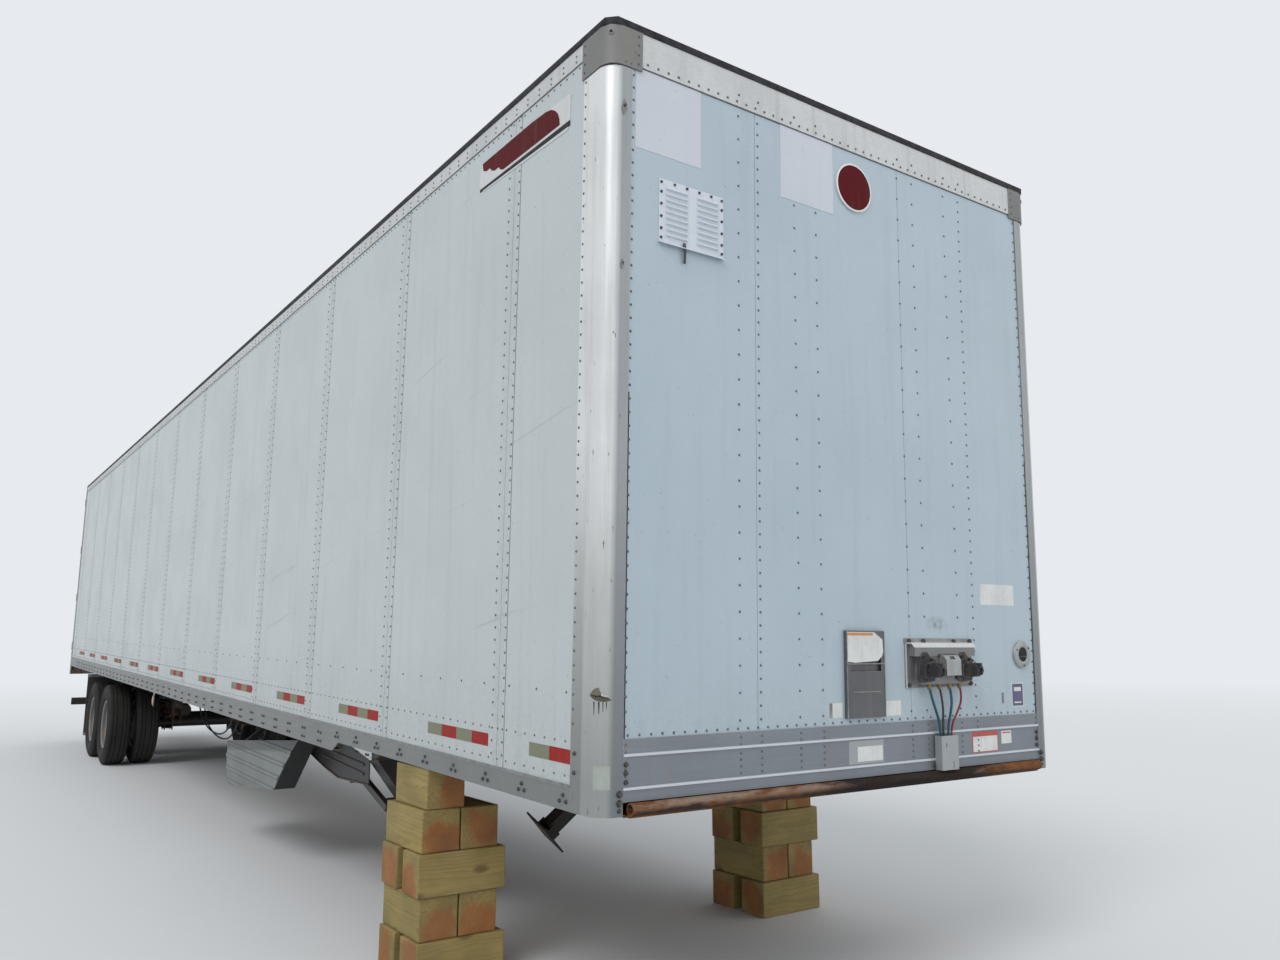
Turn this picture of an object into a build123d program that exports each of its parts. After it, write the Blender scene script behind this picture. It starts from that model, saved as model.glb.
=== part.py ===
from build123d import *
import math
import os

# A 53 foot box trailer, nose down on two timber cribs. Millimetres.
# The body is drawn level: x = 0 is the nose, +X forward, +Y the left side, z = 0 the
# underside of the front run of the bottom rail. At the end it is set to its stance.

# overall
body_length = 16154.0
body_width = 2591.0
roof_z = 2924.0
skin_set_back = 5.0
wall = 50.0

# stance
pitch = 1.34
nose_height = 882.3
frame_forward = 8040.0

# rails
rail_top = 89.0
rail_drop_x = -2640.0
rail_slant = 95.0
rail_web = 6.0
rail_foot = 60.0
rail_foot_thick = 6.0
rail_play = 8.0
top_rail_z = 2826.0
nose_rail_z = 2757.0
roof_skin = 3.0
roof_lip = 12.0

# side sheets
first_panel = 750.0
panel_pitch = 1244.6
seam = 3.0

# nose
post_radius = 75.0
post_side = 177.0
post_front = 105.0
post_wall = 5.0
cap_side = 190.0
cap_front = 150.0
cap_z = 2738.0
nose_rail_height = 252.0
nose_tube_radius = 22.0
nose_tube_wall = 5.0

# floor
floor_thick = 35.0
floor_top = 97.0
beam_height = 100.0
beam_flange = 50.0
beam_web = 5.0
beam_spacing = 304.8

# coupler
kingpin_x = -914.4
coupler_plate = 10.0
coupler_back_x = -1260.0
coupler_half = 600.0

# rear frame and doors
post_width = 70.0
post_depth = 110.0
header_height = 105.0
sill_drop = 190.0
sill_height = 280.0
door_thick = 42.0
door_gap = 8.0
door_middle_gap = 12.0
hinge_in = 10.5
hinge_out = 30.0
hinge_pin = 8.0
hinge_play = 0.3
hinge_count = 4
lock_rod = 14.0
lock_rod_out = 40.0

# running gear
tyre_radius = 505.0
tyre_width = 272.0
rim_radius = 286.0
rim_width = 210.0
dual_offset = 165.0
track = 1968.0
axle_x = -11900.0
axle_spread = 1244.6
axle_tube = 63.5
spindle = 44.7
hub_bore = 45.0
spring_y = 508.0
spring_reach = 530.0
leaf_width = 76.0
leaf_thick = 12.0
leaf_count = 3
leaf_camber = 58.0
seat_height = 26.0

# supports
timber = 184.0
crib_layers = 5

half = body_width / 2
skin_y = half - skin_set_back
floor_low = floor_top - floor_thick
beam_low = floor_low - beam_height
rail_low = beam_low - rail_play - rail_foot_thick
sin_p = math.sin(math.radians(pitch))
cos_p = math.cos(math.radians(pitch))
stance = Pos(frame_forward, 0, nose_height) * Rot(0, pitch, 0)
made = {}


def block(x0, x1, y0, y1, z0, z1):
    """A plain block between two corners."""
    size = Box(abs(x1 - x0), abs(y1 - y0), abs(z1 - z0))
    return Pos((x0 + x1) / 2, (y0 + y1) / 2, (z0 + z1) / 2) * size


def along_y(points, y0, y1):
    """An (x, z) outline carried from y0 to y1."""
    outline = Polyline([(x, y0, z) for x, z in points], close=True)
    return extrude(make_face(outline), amount=y1 - y0, dir=(0, 1, 0))


def along_x(points, x0, x1):
    """A (y, z) outline carried from x0 to x1."""
    outline = Polyline([(x0, y, z) for y, z in points], close=True)
    return extrude(make_face(outline), amount=x1 - x0, dir=(1, 0, 0))


def along_z(points, z0, z1):
    """An (x, y) outline carried from z0 to z1."""
    outline = Polyline([(x, y, z0) for x, y in points], close=True)
    return extrude(make_face(outline), amount=z1 - z0, dir=(0, 0, 1))


def turned(points):
    """A ring about the Y axis from an (r, y) outline."""
    outline = Polyline([(r, y, 0) for r, y in points], close=True)
    return revolve(make_face(outline), Axis.Y, 360)


def rod(p0, p1, radius):
    """A round bar from p0 to p1."""
    start = Vector(*p0)
    run = Vector(*p1) - start
    plane = Plane(origin=start, z_dir=run)
    return extrude(plane * Circle(radius), amount=run.length)


def mirrored(shape):
    return mirror(shape, Plane.XZ)


def ground_z(x, height=0.0):
    """The height in the level body at which a point stands that far above the ground."""
    return (height - nose_height + x * sin_p) / cos_p


def stand_z(x, z=0.0):
    """The height above the ground of a point of the level body."""
    return nose_height - x * sin_p + z * cos_p


def keep(name, solids, placed=True):
    """Write one node, set to its stance."""
    if not isinstance(solids, (list, tuple)):
        solids = [solids]
    flat = []
    for item in solids:
        flat.extend(item.solids())
    if placed:
        flat = [stance * s for s in flat]
    made[name] = flat
    shape = flat[0] if len(flat) == 1 else Compound(children=flat)
    export_step(shape, f"parts/{name}.step")


os.makedirs("parts", exist_ok=True)

# bottom rails: a web, a top ledge for the sheets and a foot that carries the beams
rail_back_x = -body_length + post_depth
rail_side = [
    (-post_side, 0),
    (-post_side, rail_top),
    (rail_back_x, rail_top),
    (rail_back_x, rail_low),
    (rail_drop_x - rail_slant, rail_low),
    (rail_drop_x, 0),
]
web = along_y(rail_side, half - rail_web, half)
ledge = block(rail_back_x, -post_side, half - 26, half - rail_web, rail_top - 6, rail_top)
rib = block(rail_back_x, -post_side, half, half + 2.5, rail_top - 9, rail_top - 4)
foot_front = block(rail_drop_x, -post_side, half - rail_foot, half - rail_web, 0, rail_foot_thick)
foot_back = block(
    rail_back_x, rail_drop_x - rail_slant, half - rail_foot, half - rail_web, rail_low, rail_low + rail_foot_thick
)
rail = web + ledge + rib + foot_front + foot_back
keep("bottom_rails", [rail, mirrored(rail)])

# side panels, each as thick as the wall, between the rails
seam_x = [-first_panel - i * panel_pitch for i in range(13)]
edges = [-post_side] + seam_x + [rail_back_x]
panels = []
for front, back in zip(edges[:-1], edges[1:]):
    x0 = back + (seam / 2 if back != rail_back_x else 0)
    x1 = front - (seam / 2 if front != -post_side else 0)
    panels.append(block(x0, x1, skin_y - wall, skin_y, rail_top, top_rail_z))

# posts that cover the panel seams inside
posts = []
for x in seam_x:
    posts.append(block(x - 45, x + 45, skin_y - wall - 4, skin_y - wall, floor_top, top_rail_z))
keep("side_panels_left", panels + posts)
keep("side_panels_right", [mirrored(p) for p in panels + posts])

# nose wall and its posts
nose_face = -6.0
nose_edges = [-half + post_front, -573.0, 300.0, half - post_front]
sheets = []
for y0, y1 in zip(nose_edges[:-1], nose_edges[1:]):
    sheets.append(block(nose_face - wall, nose_face, y0 + 1, y1 - 1, nose_rail_height, nose_rail_z))
keep("nose_wall", sheets)

corner = half - post_radius
outer = [
    (-post_side, half),
    (-post_radius, half),
]
post_line = Line((-post_side, half), (-post_radius, half))
post_arc = JernArc(start=(-post_radius, half), tangent=(1, 0), radius=post_radius, arc_size=-90)
post_front_line = Line((0, half - post_radius), (0, half - post_front))
post_path = post_line + post_arc + post_front_line
post_face = make_face(
    post_path
    + Line((0, half - post_front), (-post_wall, half - post_front))
    + Line((-post_wall, half - post_front), (-post_wall, half - post_radius))
    + JernArc(
        start=(-post_wall, half - post_radius),
        tangent=(0, 1),
        radius=post_radius - post_wall,
        arc_size=90,
    )
    + Line((-post_radius, half - post_wall), (-post_side, half - post_wall))
    + Line((-post_side, half - post_wall), (-post_side, half))
)
post = extrude(post_face, amount=cap_z, dir=(0, 0, 1))
keep("corner_posts", [post, mirrored(post)])

cap_low = cap_z
cap_top = roof_z - 3
cap_outline = [
    (-cap_side, half + 3),
    (3, half + 3),
    (3, half - cap_front),
    (-cap_side, half - cap_front),
]
cap = along_z(cap_outline, cap_low, cap_top)
cap = fillet(cap.edges().filter_by(Axis.Z).group_by(Axis.X)[-1].sort_by(Axis.Y)[-1], 66)
cap_inner = along_z(
    [
        (-cap_side - 10, half - 4.8),
        (-5.8, half - 4.8),
        (-5.8, half - cap_front - 10),
        (-cap_side - 10, half - cap_front - 10),
    ],
    cap_low - 1,
    cap_top - 12,
)
cap_inner = fillet(cap_inner.edges().filter_by(Axis.Z).group_by(Axis.X)[-1].sort_by(Axis.Y)[-1], 55)
cap = cap - cap_inner
keep("corner_caps", [cap, mirrored(cap)])

# top rails
top_web = block(rail_back_x, -cap_side, half - 8, half, top_rail_z, roof_z - roof_skin)
top_foot = block(rail_back_x, -cap_side, skin_y - wall, half - 8, top_rail_z, top_rail_z + 6)
top_lip = block(rail_back_x, -cap_side, half - 50, half - 8, roof_z - roof_skin - 6, roof_z - roof_skin)
top_rail = top_web + top_foot + top_lip
nose_web = block(-8, 0, -half + cap_front, half - cap_front, nose_rail_z, roof_z - roof_skin)
nose_foot = block(nose_face - wall, -8, -half + cap_front, half - cap_front, nose_rail_z, nose_rail_z + 6)
nose_lip = block(-50, -8, -half + cap_front, half - cap_front, roof_z - roof_skin - 6, roof_z - roof_skin)
keep("top_rails", [top_rail, mirrored(top_rail), nose_web + nose_foot + nose_lip])

# roof skin with its turned-down edge, and its bows
roof = block(-body_length, 0, -half, half, roof_z - roof_skin, roof_z)
roof = fillet(roof.edges().filter_by(Axis.Z).group_by(Axis.X)[-1], post_radius)
keep("roof", roof)
bows = []
bow_count = 26
bow_first = -300.0
bow_last = -body_length + 320.0
for i in range(bow_count):
    x = bow_first + (bow_last - bow_first) * i / (bow_count - 1)
    z1 = roof_z - roof_skin
    bow = block(x - 25, x + 25, -half + 50, half - 50, z1 - 3, z1)
    bow += block(x - 15, x - 12, -half + 50, half - 50, z1 - 28, z1 - 3)
    bow += block(x + 12, x + 15, -half + 50, half - 50, z1 - 28, z1 - 3)
    bow += block(x - 15, x + 15, -half + 50, half - 50, z1 - 30, z1 - 27)
    bows.append(bow)
keep("roof_bows", bows)

# floor and the beams under it
floor = block(
    -body_length + post_depth, nose_face - wall, -skin_y + wall, skin_y - wall, floor_low, floor_top
)
keep("floor", floor)
beam_half = beam_flange / 2
beam_outline = [
    (-beam_half, 0),
    (beam_half, 0),
    (beam_half, 5),
    (beam_web / 2, 5),
    (beam_web / 2, beam_height - 5),
    (beam_half, beam_height - 5),
    (beam_half, beam_height),
    (-beam_half, beam_height),
    (-beam_half, beam_height - 5),
    (-beam_web / 2, beam_height - 5),
    (-beam_web / 2, 5),
    (-beam_half, 5),
]
beams = []
beam_x = coupler_back_x - 200
while beam_x > rail_back_x + 60:
    low = beam_low if beam_x < rail_drop_x - rail_slant - 30 else 7.0
    tall = floor_low - low
    pts = [(beam_x + x, low + z * tall / beam_height) for x, z in beam_outline]
    beams.append(along_y(pts, -half + rail_web, half - rail_web))
    beam_x -= beam_spacing
keep("cross_beams", beams)

# coupler: plate, its turned leading tube, stiffeners and the kingpin
plate_z = -coupler_plate
plate = block(coupler_back_x, -30, -coupler_half, coupler_half, plate_z, 0)
plate_wide = along_z(
    [(-30, -half + 130), (-30, half - 130), (-330, half - 130), (-560, coupler_half)]
    + [(-560, -coupler_half), (-330, -half + 130)],
    plate_z,
    0,
)
plate = plate + plate_wide
ribs = []
for y in (-560, -300, 300, 560):
    ribs.append(block(coupler_back_x, -60, y - 4, y + 4, 0, floor_low))
for x in (-150, -480, -780, -1050, coupler_back_x + 6):
    for y0, y1 in ((-556, -304), (-296, 296), (304, 556)):
        ribs.append(block(x - 4, x + 4, y0, y1, 0, floor_low))
for x in (-150, -330):
    for y0, y1 in ((-half + rail_web, -564), (564, half - rail_web)):
        ribs.append(block(x - 4, x + 4, y0, y1, 6.5, floor_low))

tube_half = half - 130.0
tube_z = nose_tube_radius
tube_x = 8.0
nose_tube = rod((tube_x, -tube_half, tube_z), (tube_x, tube_half, tube_z), nose_tube_radius)
nose_tube -= rod(
    (tube_x, -tube_half - 1, tube_z), (tube_x, tube_half + 1, tube_z), nose_tube_radius - nose_tube_wall
)
plate += block(-30, tube_x, -tube_half, tube_half, -6, 1)
pin_collar = 38.0
pin_play = 0.7
pin_flange = 70.0
pin_outline = [
    (0, -coupler_plate - 12),
    (pin_flange, -coupler_plate - 12),
    (pin_flange, -coupler_plate),
    (pin_collar, -coupler_plate),
    (pin_collar, 15),
    (36.5, 16),
    (36.5, 35),
    (25.4, 36),
    (25.4, 71),
    (35.7, 72),
    (35.7, 84),
    (30, 90),
    (0, 90),
]
pin_face = make_face(Polyline([(r, 0, -d) for r, d in pin_outline], close=True))
kingpin = Pos(kingpin_x, 0, plate_z) * revolve(pin_face, Axis.Z, 360)
plate -= rod((kingpin_x, 0, plate_z - 1), (kingpin_x, 0, 1), pin_collar + pin_play)
keep("coupler_plate", [plate, nose_tube] + ribs)
keep("kingpin", kingpin)

# nose bottom rail with its two ridges
nose_rail_outline = [
    (nose_face - wall, 46),
    (-2, 46),
    (-2, 84),
    (3, 86),
    (3, 94),
    (-2, 96),
    (-2, 195),
    (4, 198),
    (4, 205),
    (-2, 208),
    (-2, nose_rail_height + 4),
    (nose_face, nose_rail_height + 4),
    (nose_face, nose_rail_height),
    (nose_face - wall, nose_rail_height),
]
rail_y = half - post_front
nose_rail = extrude(
    make_face(Polyline([(x, -rail_y, z) for x, z in nose_rail_outline], close=True)),
    amount=2 * rail_y,
    dir=(0, 1, 0),
)
keep("nose_rail", nose_rail)

# louvred vent
vent_in = 237.5
vent_wide = 316.0
vent_y0 = -half + vent_in
vent_y1 = vent_y0 + vent_wide
vent_z0 = 2082.0
vent_z1 = 2336.0
vent_thick = 3.0
vent_face = nose_face + vent_thick
louvre_rows = 9
louvre_margin = 32.0
louvre_apart = 50.0
vent = block(nose_face, vent_face, vent_y0, vent_y1, vent_z0, vent_z1)
louvre_pitch = (vent_z1 - vent_z0 - 44) / louvre_rows
louvre_outline = [(0, 0), (9, 3), (9, 5), (0, 15)]
vent_mid = (vent_y0 + vent_y1) / 2
for row in range(louvre_rows):
    z = vent_z0 + 26 + row * louvre_pitch
    for y0, y1 in (
        (vent_y0 + louvre_margin, vent_mid - louvre_apart / 2),
        (vent_mid + louvre_apart / 2, vent_y1 - louvre_margin),
    ):
        hood = [(vent_face + x - 0.2, z + dz) for x, dz in louvre_outline]
        vent += along_y(hood, y0, y1)
        slot = [(vent_face - vent_thick - 1, z + 0.5), (vent_face + 7, z + 2.4)]
        slot += [(vent_face + 7, z + 5), (vent_face - vent_thick - 1, z + 11)]
        vent -= along_y(slot, y0 + 2, y1 - 2)
vent_lip = along_y(
    [(vent_face, vent_z0), (vent_face + 14, vent_z0 - 8), (vent_face + 14, vent_z0 - 5), (vent_face, vent_z0 + 3)],
    vent_y0,
    vent_y1,
)
keep("nose_vent", vent + vent_lip)

# air and electric connections
box_y0 = 264.0
box_y1 = 715.0
box_z0 = 395.0
box_z1 = 596.0
box_out = 34.0
box_plate = block(nose_face, nose_face + 4, box_y0, box_y1, box_z0, box_z1)
hood_outline = [
    (nose_face + 4, box_z1 - 12),
    (nose_face + 4, box_z1 - 66),
    (box_out, box_z1 - 66),
    (box_out, box_z1 - 30),
    (box_out - 16, box_z1 - 12),
]
box_body = along_y(hood_outline, box_y0 + 24, box_y1 - 24)
pocket = block(nose_face + 4, box_out - 4, box_y0 + 60, box_y1 - 60, box_z0 + 16, box_z1 - 66)

couplings = []
for y in (365.0, 620.0):
    foot = rod((box_out - 4, y, 470), (box_out + 14, y, 470), 24)
    neck = rod((box_out + 14, y, 470), (box_out + 34, y, 470), 15)
    head_axis = Plane(origin=(box_out + 50, y - 16, 470), z_dir=(0, 1, 0))
    head = extrude(head_axis * Circle(29), amount=32)
    face_ring = extrude(Plane(origin=(box_out + 50, y + 15, 470), z_dir=(0, 1, 0)) * Circle(21), amount=7)
    horn = block(box_out + 34, box_out + 92, y - 12, y - 4, 482, 502)
    couplings.append(foot + neck + head + face_ring + horn)
seven_way = rod((box_out - 4, 492, 486), (box_out + 30, 492, 486), 34)
seven_lid = rod((box_out + 30, 492, 486), (box_out + 36, 492, 486), 38)
lid_hinge = block(box_out - 4, box_out + 33, 481, 503, 512, 530)
couplings.append(seven_way + seven_lid + lid_hinge)
keep("couplings", couplings)

conduit_y0 = 436.0
conduit_y1 = 546.0
conduit = block(3.2, 40, conduit_y0, conduit_y1, 46, 190)
conduit -= block(0, 34, conduit_y0 + 6, conduit_y1 - 6, 40, 196)
keep("connection_box", [box_plate + box_body + pocket, conduit])

# hoses from the couplings down into the conduit
hose_ends = [
    (385.0, 458.0, 5.5),
    (452.0, 474.0, 4.5),
    (520.0, 506.0, 5.5),
    (590.0, 524.0, 4.5),
]
hoses = []
for top_y, low_y, radius in hose_ends:
    pts = [
        (box_out - 13, top_y, box_z0 + 14.4),
        (box_out + 2, top_y, 350),
        (box_out - 2, top_y + (low_y - top_y) * 0.45, 290),
        (19, low_y, 225),
        (19, low_y, 120),
    ]
    line = FilletPolyline(*pts, radius=40)
    start = Plane(origin=line @ 0, z_dir=line % 0)
    hoses.append(sweep(start * Circle(radius), path=line))
keep("nose_hoses", hoses)

# papers holder, round port, and the bare mounts of the badges
holder = block(nose_face, nose_face + 16, -105, 122, 282, 636)
holder -= block(nose_face + 3, nose_face + 13, -99, 116, 288, 640)
holder -= block(nose_face + 12, nose_face + 20, -84, 100, 470, 610)

port_in = 205.5
port_y = half - port_in
port_z = 534.0
port = rod((nose_face, port_y, port_z), (nose_face + 6, port_y, port_z), 62)
port += rod((nose_face + 6, port_y, port_z), (nose_face + 14, port_y, port_z), 46)
port -= rod((nose_face + 8, port_y, port_z), (nose_face + 20, port_y, port_z), 36)

disc = rod((nose_face, 8, 2586), (nose_face + 7, 8, 2586), 110)
disc = fillet(disc.edges().group_by(Axis.X)[-1], 4)
badge_outline = [
    (-1062, 2606),
    (-300, 2584),
    (-278, 2726),
    (-1040, 2740),
]
plaque = extrude(
    make_face(Polyline([(x, -skin_y, z) for x, z in badge_outline], close=True)),
    amount=2,
    dir=(0, -1, 0),
)
keep("nose_fittings", [holder, port, disc, plaque])

# rear frame: posts, header and sill
frame_back = -body_length
frame_front = -body_length + post_depth
sill_top = floor_top
sill_low = -sill_drop
header_low = roof_z - roof_skin - header_height
rear_frame = block(frame_back, frame_front, -half, half, sill_low, roof_z - roof_skin)
rear_frame -= block(
    frame_back - 1, frame_front + 1, -half + post_width, half - post_width, sill_top, header_low
)
rear_frame -= block(frame_back + 8, frame_front + 1, -half + 8, half - 8, sill_low - 1, sill_top - 6)
rear_frame -= block(
    frame_back + 8, frame_front + 1, -half + 60, half - 60, header_low + 6, roof_z - roof_skin - 5
)
for y in (-940.0, -720.0, 720.0, 940.0):
    rear_frame -= rod((frame_back - 1, y, -40), (frame_back + 20, y, -40), 52)
for y in (-80.0, 0.0, 80.0):
    z = header_low + header_height / 2
    rear_frame -= block(frame_back - 1, frame_back + 20, y - 36, y + 36, z - 14, z + 14)

# rear lamps in the sill and header
lamps = []
for y in (-940.0, -720.0, 720.0, 940.0):
    lens = rod((frame_back + 8.3, y, -40), (frame_back - 10, y, -40), 51)
    lens += rod((frame_back + 34, y, -40), (frame_back + 8.3, y, -40), 56)
    lamps.append(lens)
for y in (-80.0, 0.0, 80.0):
    z = header_low + header_height / 2
    lens = block(frame_back - 10, frame_back + 8.3, y - 34, y + 34, z - 12, z + 12)
    lens += block(frame_back + 8.3, frame_back + 20, y - 38, y + 38, z - 18, z + 18)
    lamps.append(lens)
side_lamp_x = -8370.0
for s in (-1, 1):
    bracket = block(side_lamp_x - 30, side_lamp_x + 30, s * (half - 12), s * (half - 8), -190, rail_low)
    lens = rod((side_lamp_x, s * (half - 8), -132), (side_lamp_x, s * (half + 14), -132), 52)
    lamps.append(bracket + lens)
keep("lamps", lamps)

# rear guard: bar, uprights and braces
guard_low = -680.0
guard_bar = 108.0
guard_half = half - 62.0
guard = block(frame_back, frame_back + 100, -guard_half, guard_half, guard_low, guard_low + guard_bar)
guard -= block(
    frame_back + 5, frame_back + 95, -guard_half - 1, guard_half + 1, guard_low + 5, guard_low + guard_bar - 5
)
guard_parts = [guard]
for s in (-1, 1):
    for y in (330.0, 600.0):
        up = block(
            frame_back + 14, frame_back + 94, s * y - 30, s * y + 30, guard_low + guard_bar, beam_low - 20
        )
        up -= block(
            frame_back + 20, frame_back + 88, s * y - 24, s * y + 24, guard_low + guard_bar - 1, beam_low
        )
        guard_parts.append(up)
    brace = along_y(
        [
            (frame_back + 94, guard_low + guard_bar + 10),
            (frame_back + 94, guard_low + guard_bar + 70),
            (frame_back + 500, beam_low - 20),
            (frame_back + 560, beam_low - 20),
        ],
        s * 330 - 25,
        s * 330 + 25,
    )
    guard_parts.append(brace)
guard_parts.append(
    block(frame_back + 8, frame_back + 100, -640, 640, beam_low - 20, beam_low)
)
guard_parts.append(block(frame_back + 480, frame_back + 570, -560, 560, beam_low - 20, beam_low))
keep("rear_guard", guard_parts)

# doors: leaf, hinge straps, lock rod, cams and handle
door_low = sill_top + 9.0
door_high = header_low - 9.0
door_edge = half - post_width - door_gap
door_inner = door_middle_gap / 2
pin_x = frame_back - hinge_out
pin_y = half - hinge_in
hinge_z = [
    door_low + 160 + i * (door_high - door_low - 320) / (hinge_count - 1) for i in range(hinge_count)
]
leaf = block(frame_back, frame_back + door_thick, door_inner, door_edge, door_low, door_high)
keep("door_left", leaf)
keep("door_right", mirrored(leaf))

gear = []
knuckle = 62.0
for z in hinge_z:
    strap = block(frame_back - 7, frame_back, door_edge - 200, door_edge - 2, z - 30, z + 30)
    arm = along_z(
        [
            (frame_back - 7, door_edge - 12),
            (frame_back, door_edge - 2),
            (pin_x + 6, pin_y - 4),
            (pin_x - 6, pin_y - 12),
        ],
        z - 28,
        z + 28,
    )
    barrel = rod((pin_x, pin_y, z - 28), (pin_x, pin_y, z + 28), hinge_pin + 7)
    bore = rod((pin_x, pin_y, z - 40), (pin_x, pin_y, z + 40), hinge_pin + hinge_play)
    gear.append((strap + arm + barrel) - bore)
rod_y = door_inner + 190.0
rod_x = frame_back - lock_rod_out
bar = rod((rod_x, rod_y, door_low - 30), (rod_x, rod_y, door_high + 30), lock_rod)
for z in (door_low + 12, door_high - 12):
    s = -1 if z < 1000 else 1
    z_cam = door_low - 30 if s < 0 else door_high + 30
    bar += block(rod_x - 22, rod_x + 12, rod_y - 34, rod_y + 34, z_cam - 10, z_cam + 10)
for z in (door_low + 120, door_low + 900, door_low + 1250, door_high - 500, door_high - 120):
    bar += block(rod_x - 17, frame_back, rod_y - 22, rod_y + 22, z - 25, z + 25)
    bar += block(frame_back - 5, frame_back, rod_y - 60, rod_y + 60, z - 25, z + 25)
handle_z = door_low + 1060.0
bar += block(rod_x - 8, rod_x + 8, rod_y, rod_y + 430, handle_z - 14, handle_z + 14)
bar += block(rod_x - 20, rod_x + 20, rod_y - 24, rod_y + 24, handle_z - 26, handle_z + 26)
bar += block(frame_back - 34, frame_back, rod_y + 330, rod_y + 360, handle_z - 40, handle_z - 14)
gear.append(bar)
keep("door_gear_left", gear)
keep("door_gear_right", [mirrored(g) for g in gear])

hinges = []
for z in hinge_z:
    pin = rod((pin_x, pin_y, z - 60), (pin_x, pin_y, z + 60), hinge_pin)
    ends = None
    for z0, z1 in ((z - 60, z - 29), (z + 29, z + 60)):
        ear = rod((pin_x, pin_y, z0), (pin_x, pin_y, z1), hinge_pin + 7)
        ear += block(pin_x, frame_back, pin_y - 12, pin_y + 6, z0, z1)
        pin += ear
    hinges.append(pin)
keepers = []
for s, z in ((-1, sill_top - 40), (1, header_low + 40)):
    keepers.append(block(frame_back - 9, frame_back, rod_y - 70, rod_y + 70, z - 22, z + 22))
for piece in hinges + keepers:
    rear_frame += piece
    rear_frame += mirrored(piece)
keep("rear_frame", rear_frame)

# bogie: slide rails on the body, the sliding frame, hangers, springs, axles
axles_x = [axle_x, axle_x - axle_spread]
axles_z = [ground_z(x, tyre_radius) for x in axles_x]
mid_x = sum(axles_x) / 2
slide_front = axle_x + 3300.0
slide_back = -body_length + 620.0
slide_high = beam_low
slide_low = beam_low - 96.0
slides = []
for s in (-1, 1):
    channel = block(slide_front, slide_back, s * (spring_y - 6), s * (spring_y + 2), slide_low, slide_high)
    channel += block(
        slide_front, slide_back, s * (spring_y + 2), s * (spring_y + 60), slide_high - 8, slide_high
    )
    channel += block(
        slide_front, slide_back, s * (spring_y - 40), s * (spring_y - 6), slide_low, slide_low + 8
    )
    pin_count = 14
    for i in range(pin_count):
        x = slide_front - 150 - i * 152.4
        hole_axis = Plane(origin=(x, s * (spring_y - 10), slide_low + 48), z_dir=(0, s, 0))
        channel -= extrude(hole_axis * Circle(18), amount=20)
    slides.append(channel)
keep("slide_rails", slides)

bogie_front = axle_x + 900.0
bogie_back = axles_x[1] - 900.0
bogie_low = slide_low - 104.0
bogie_parts = []
for s in (-1, 1):
    side = block(bogie_front, bogie_back, s * (spring_y - 5), s * (spring_y + 47), bogie_low, slide_low - 0.3)
    side -= block(
        bogie_front + 1, bogie_back - 1, s * (spring_y + 3), s * (spring_y + 48), bogie_low + 8, slide_low - 8
    )
    bogie_parts.append(side)
cross_y = spring_y - 5
for x in (bogie_front - 60, mid_x + 200, mid_x - 200, bogie_back + 60):
    member = block(x - 40, x + 40, -cross_y, cross_y, bogie_low, slide_low - 9)
    member -= block(x - 34, x + 41, -cross_y - 1, cross_y + 1, bogie_low + 6, slide_low - 15)
    bogie_parts.append(member)
keep("bogie_frame", bogie_parts)

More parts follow.
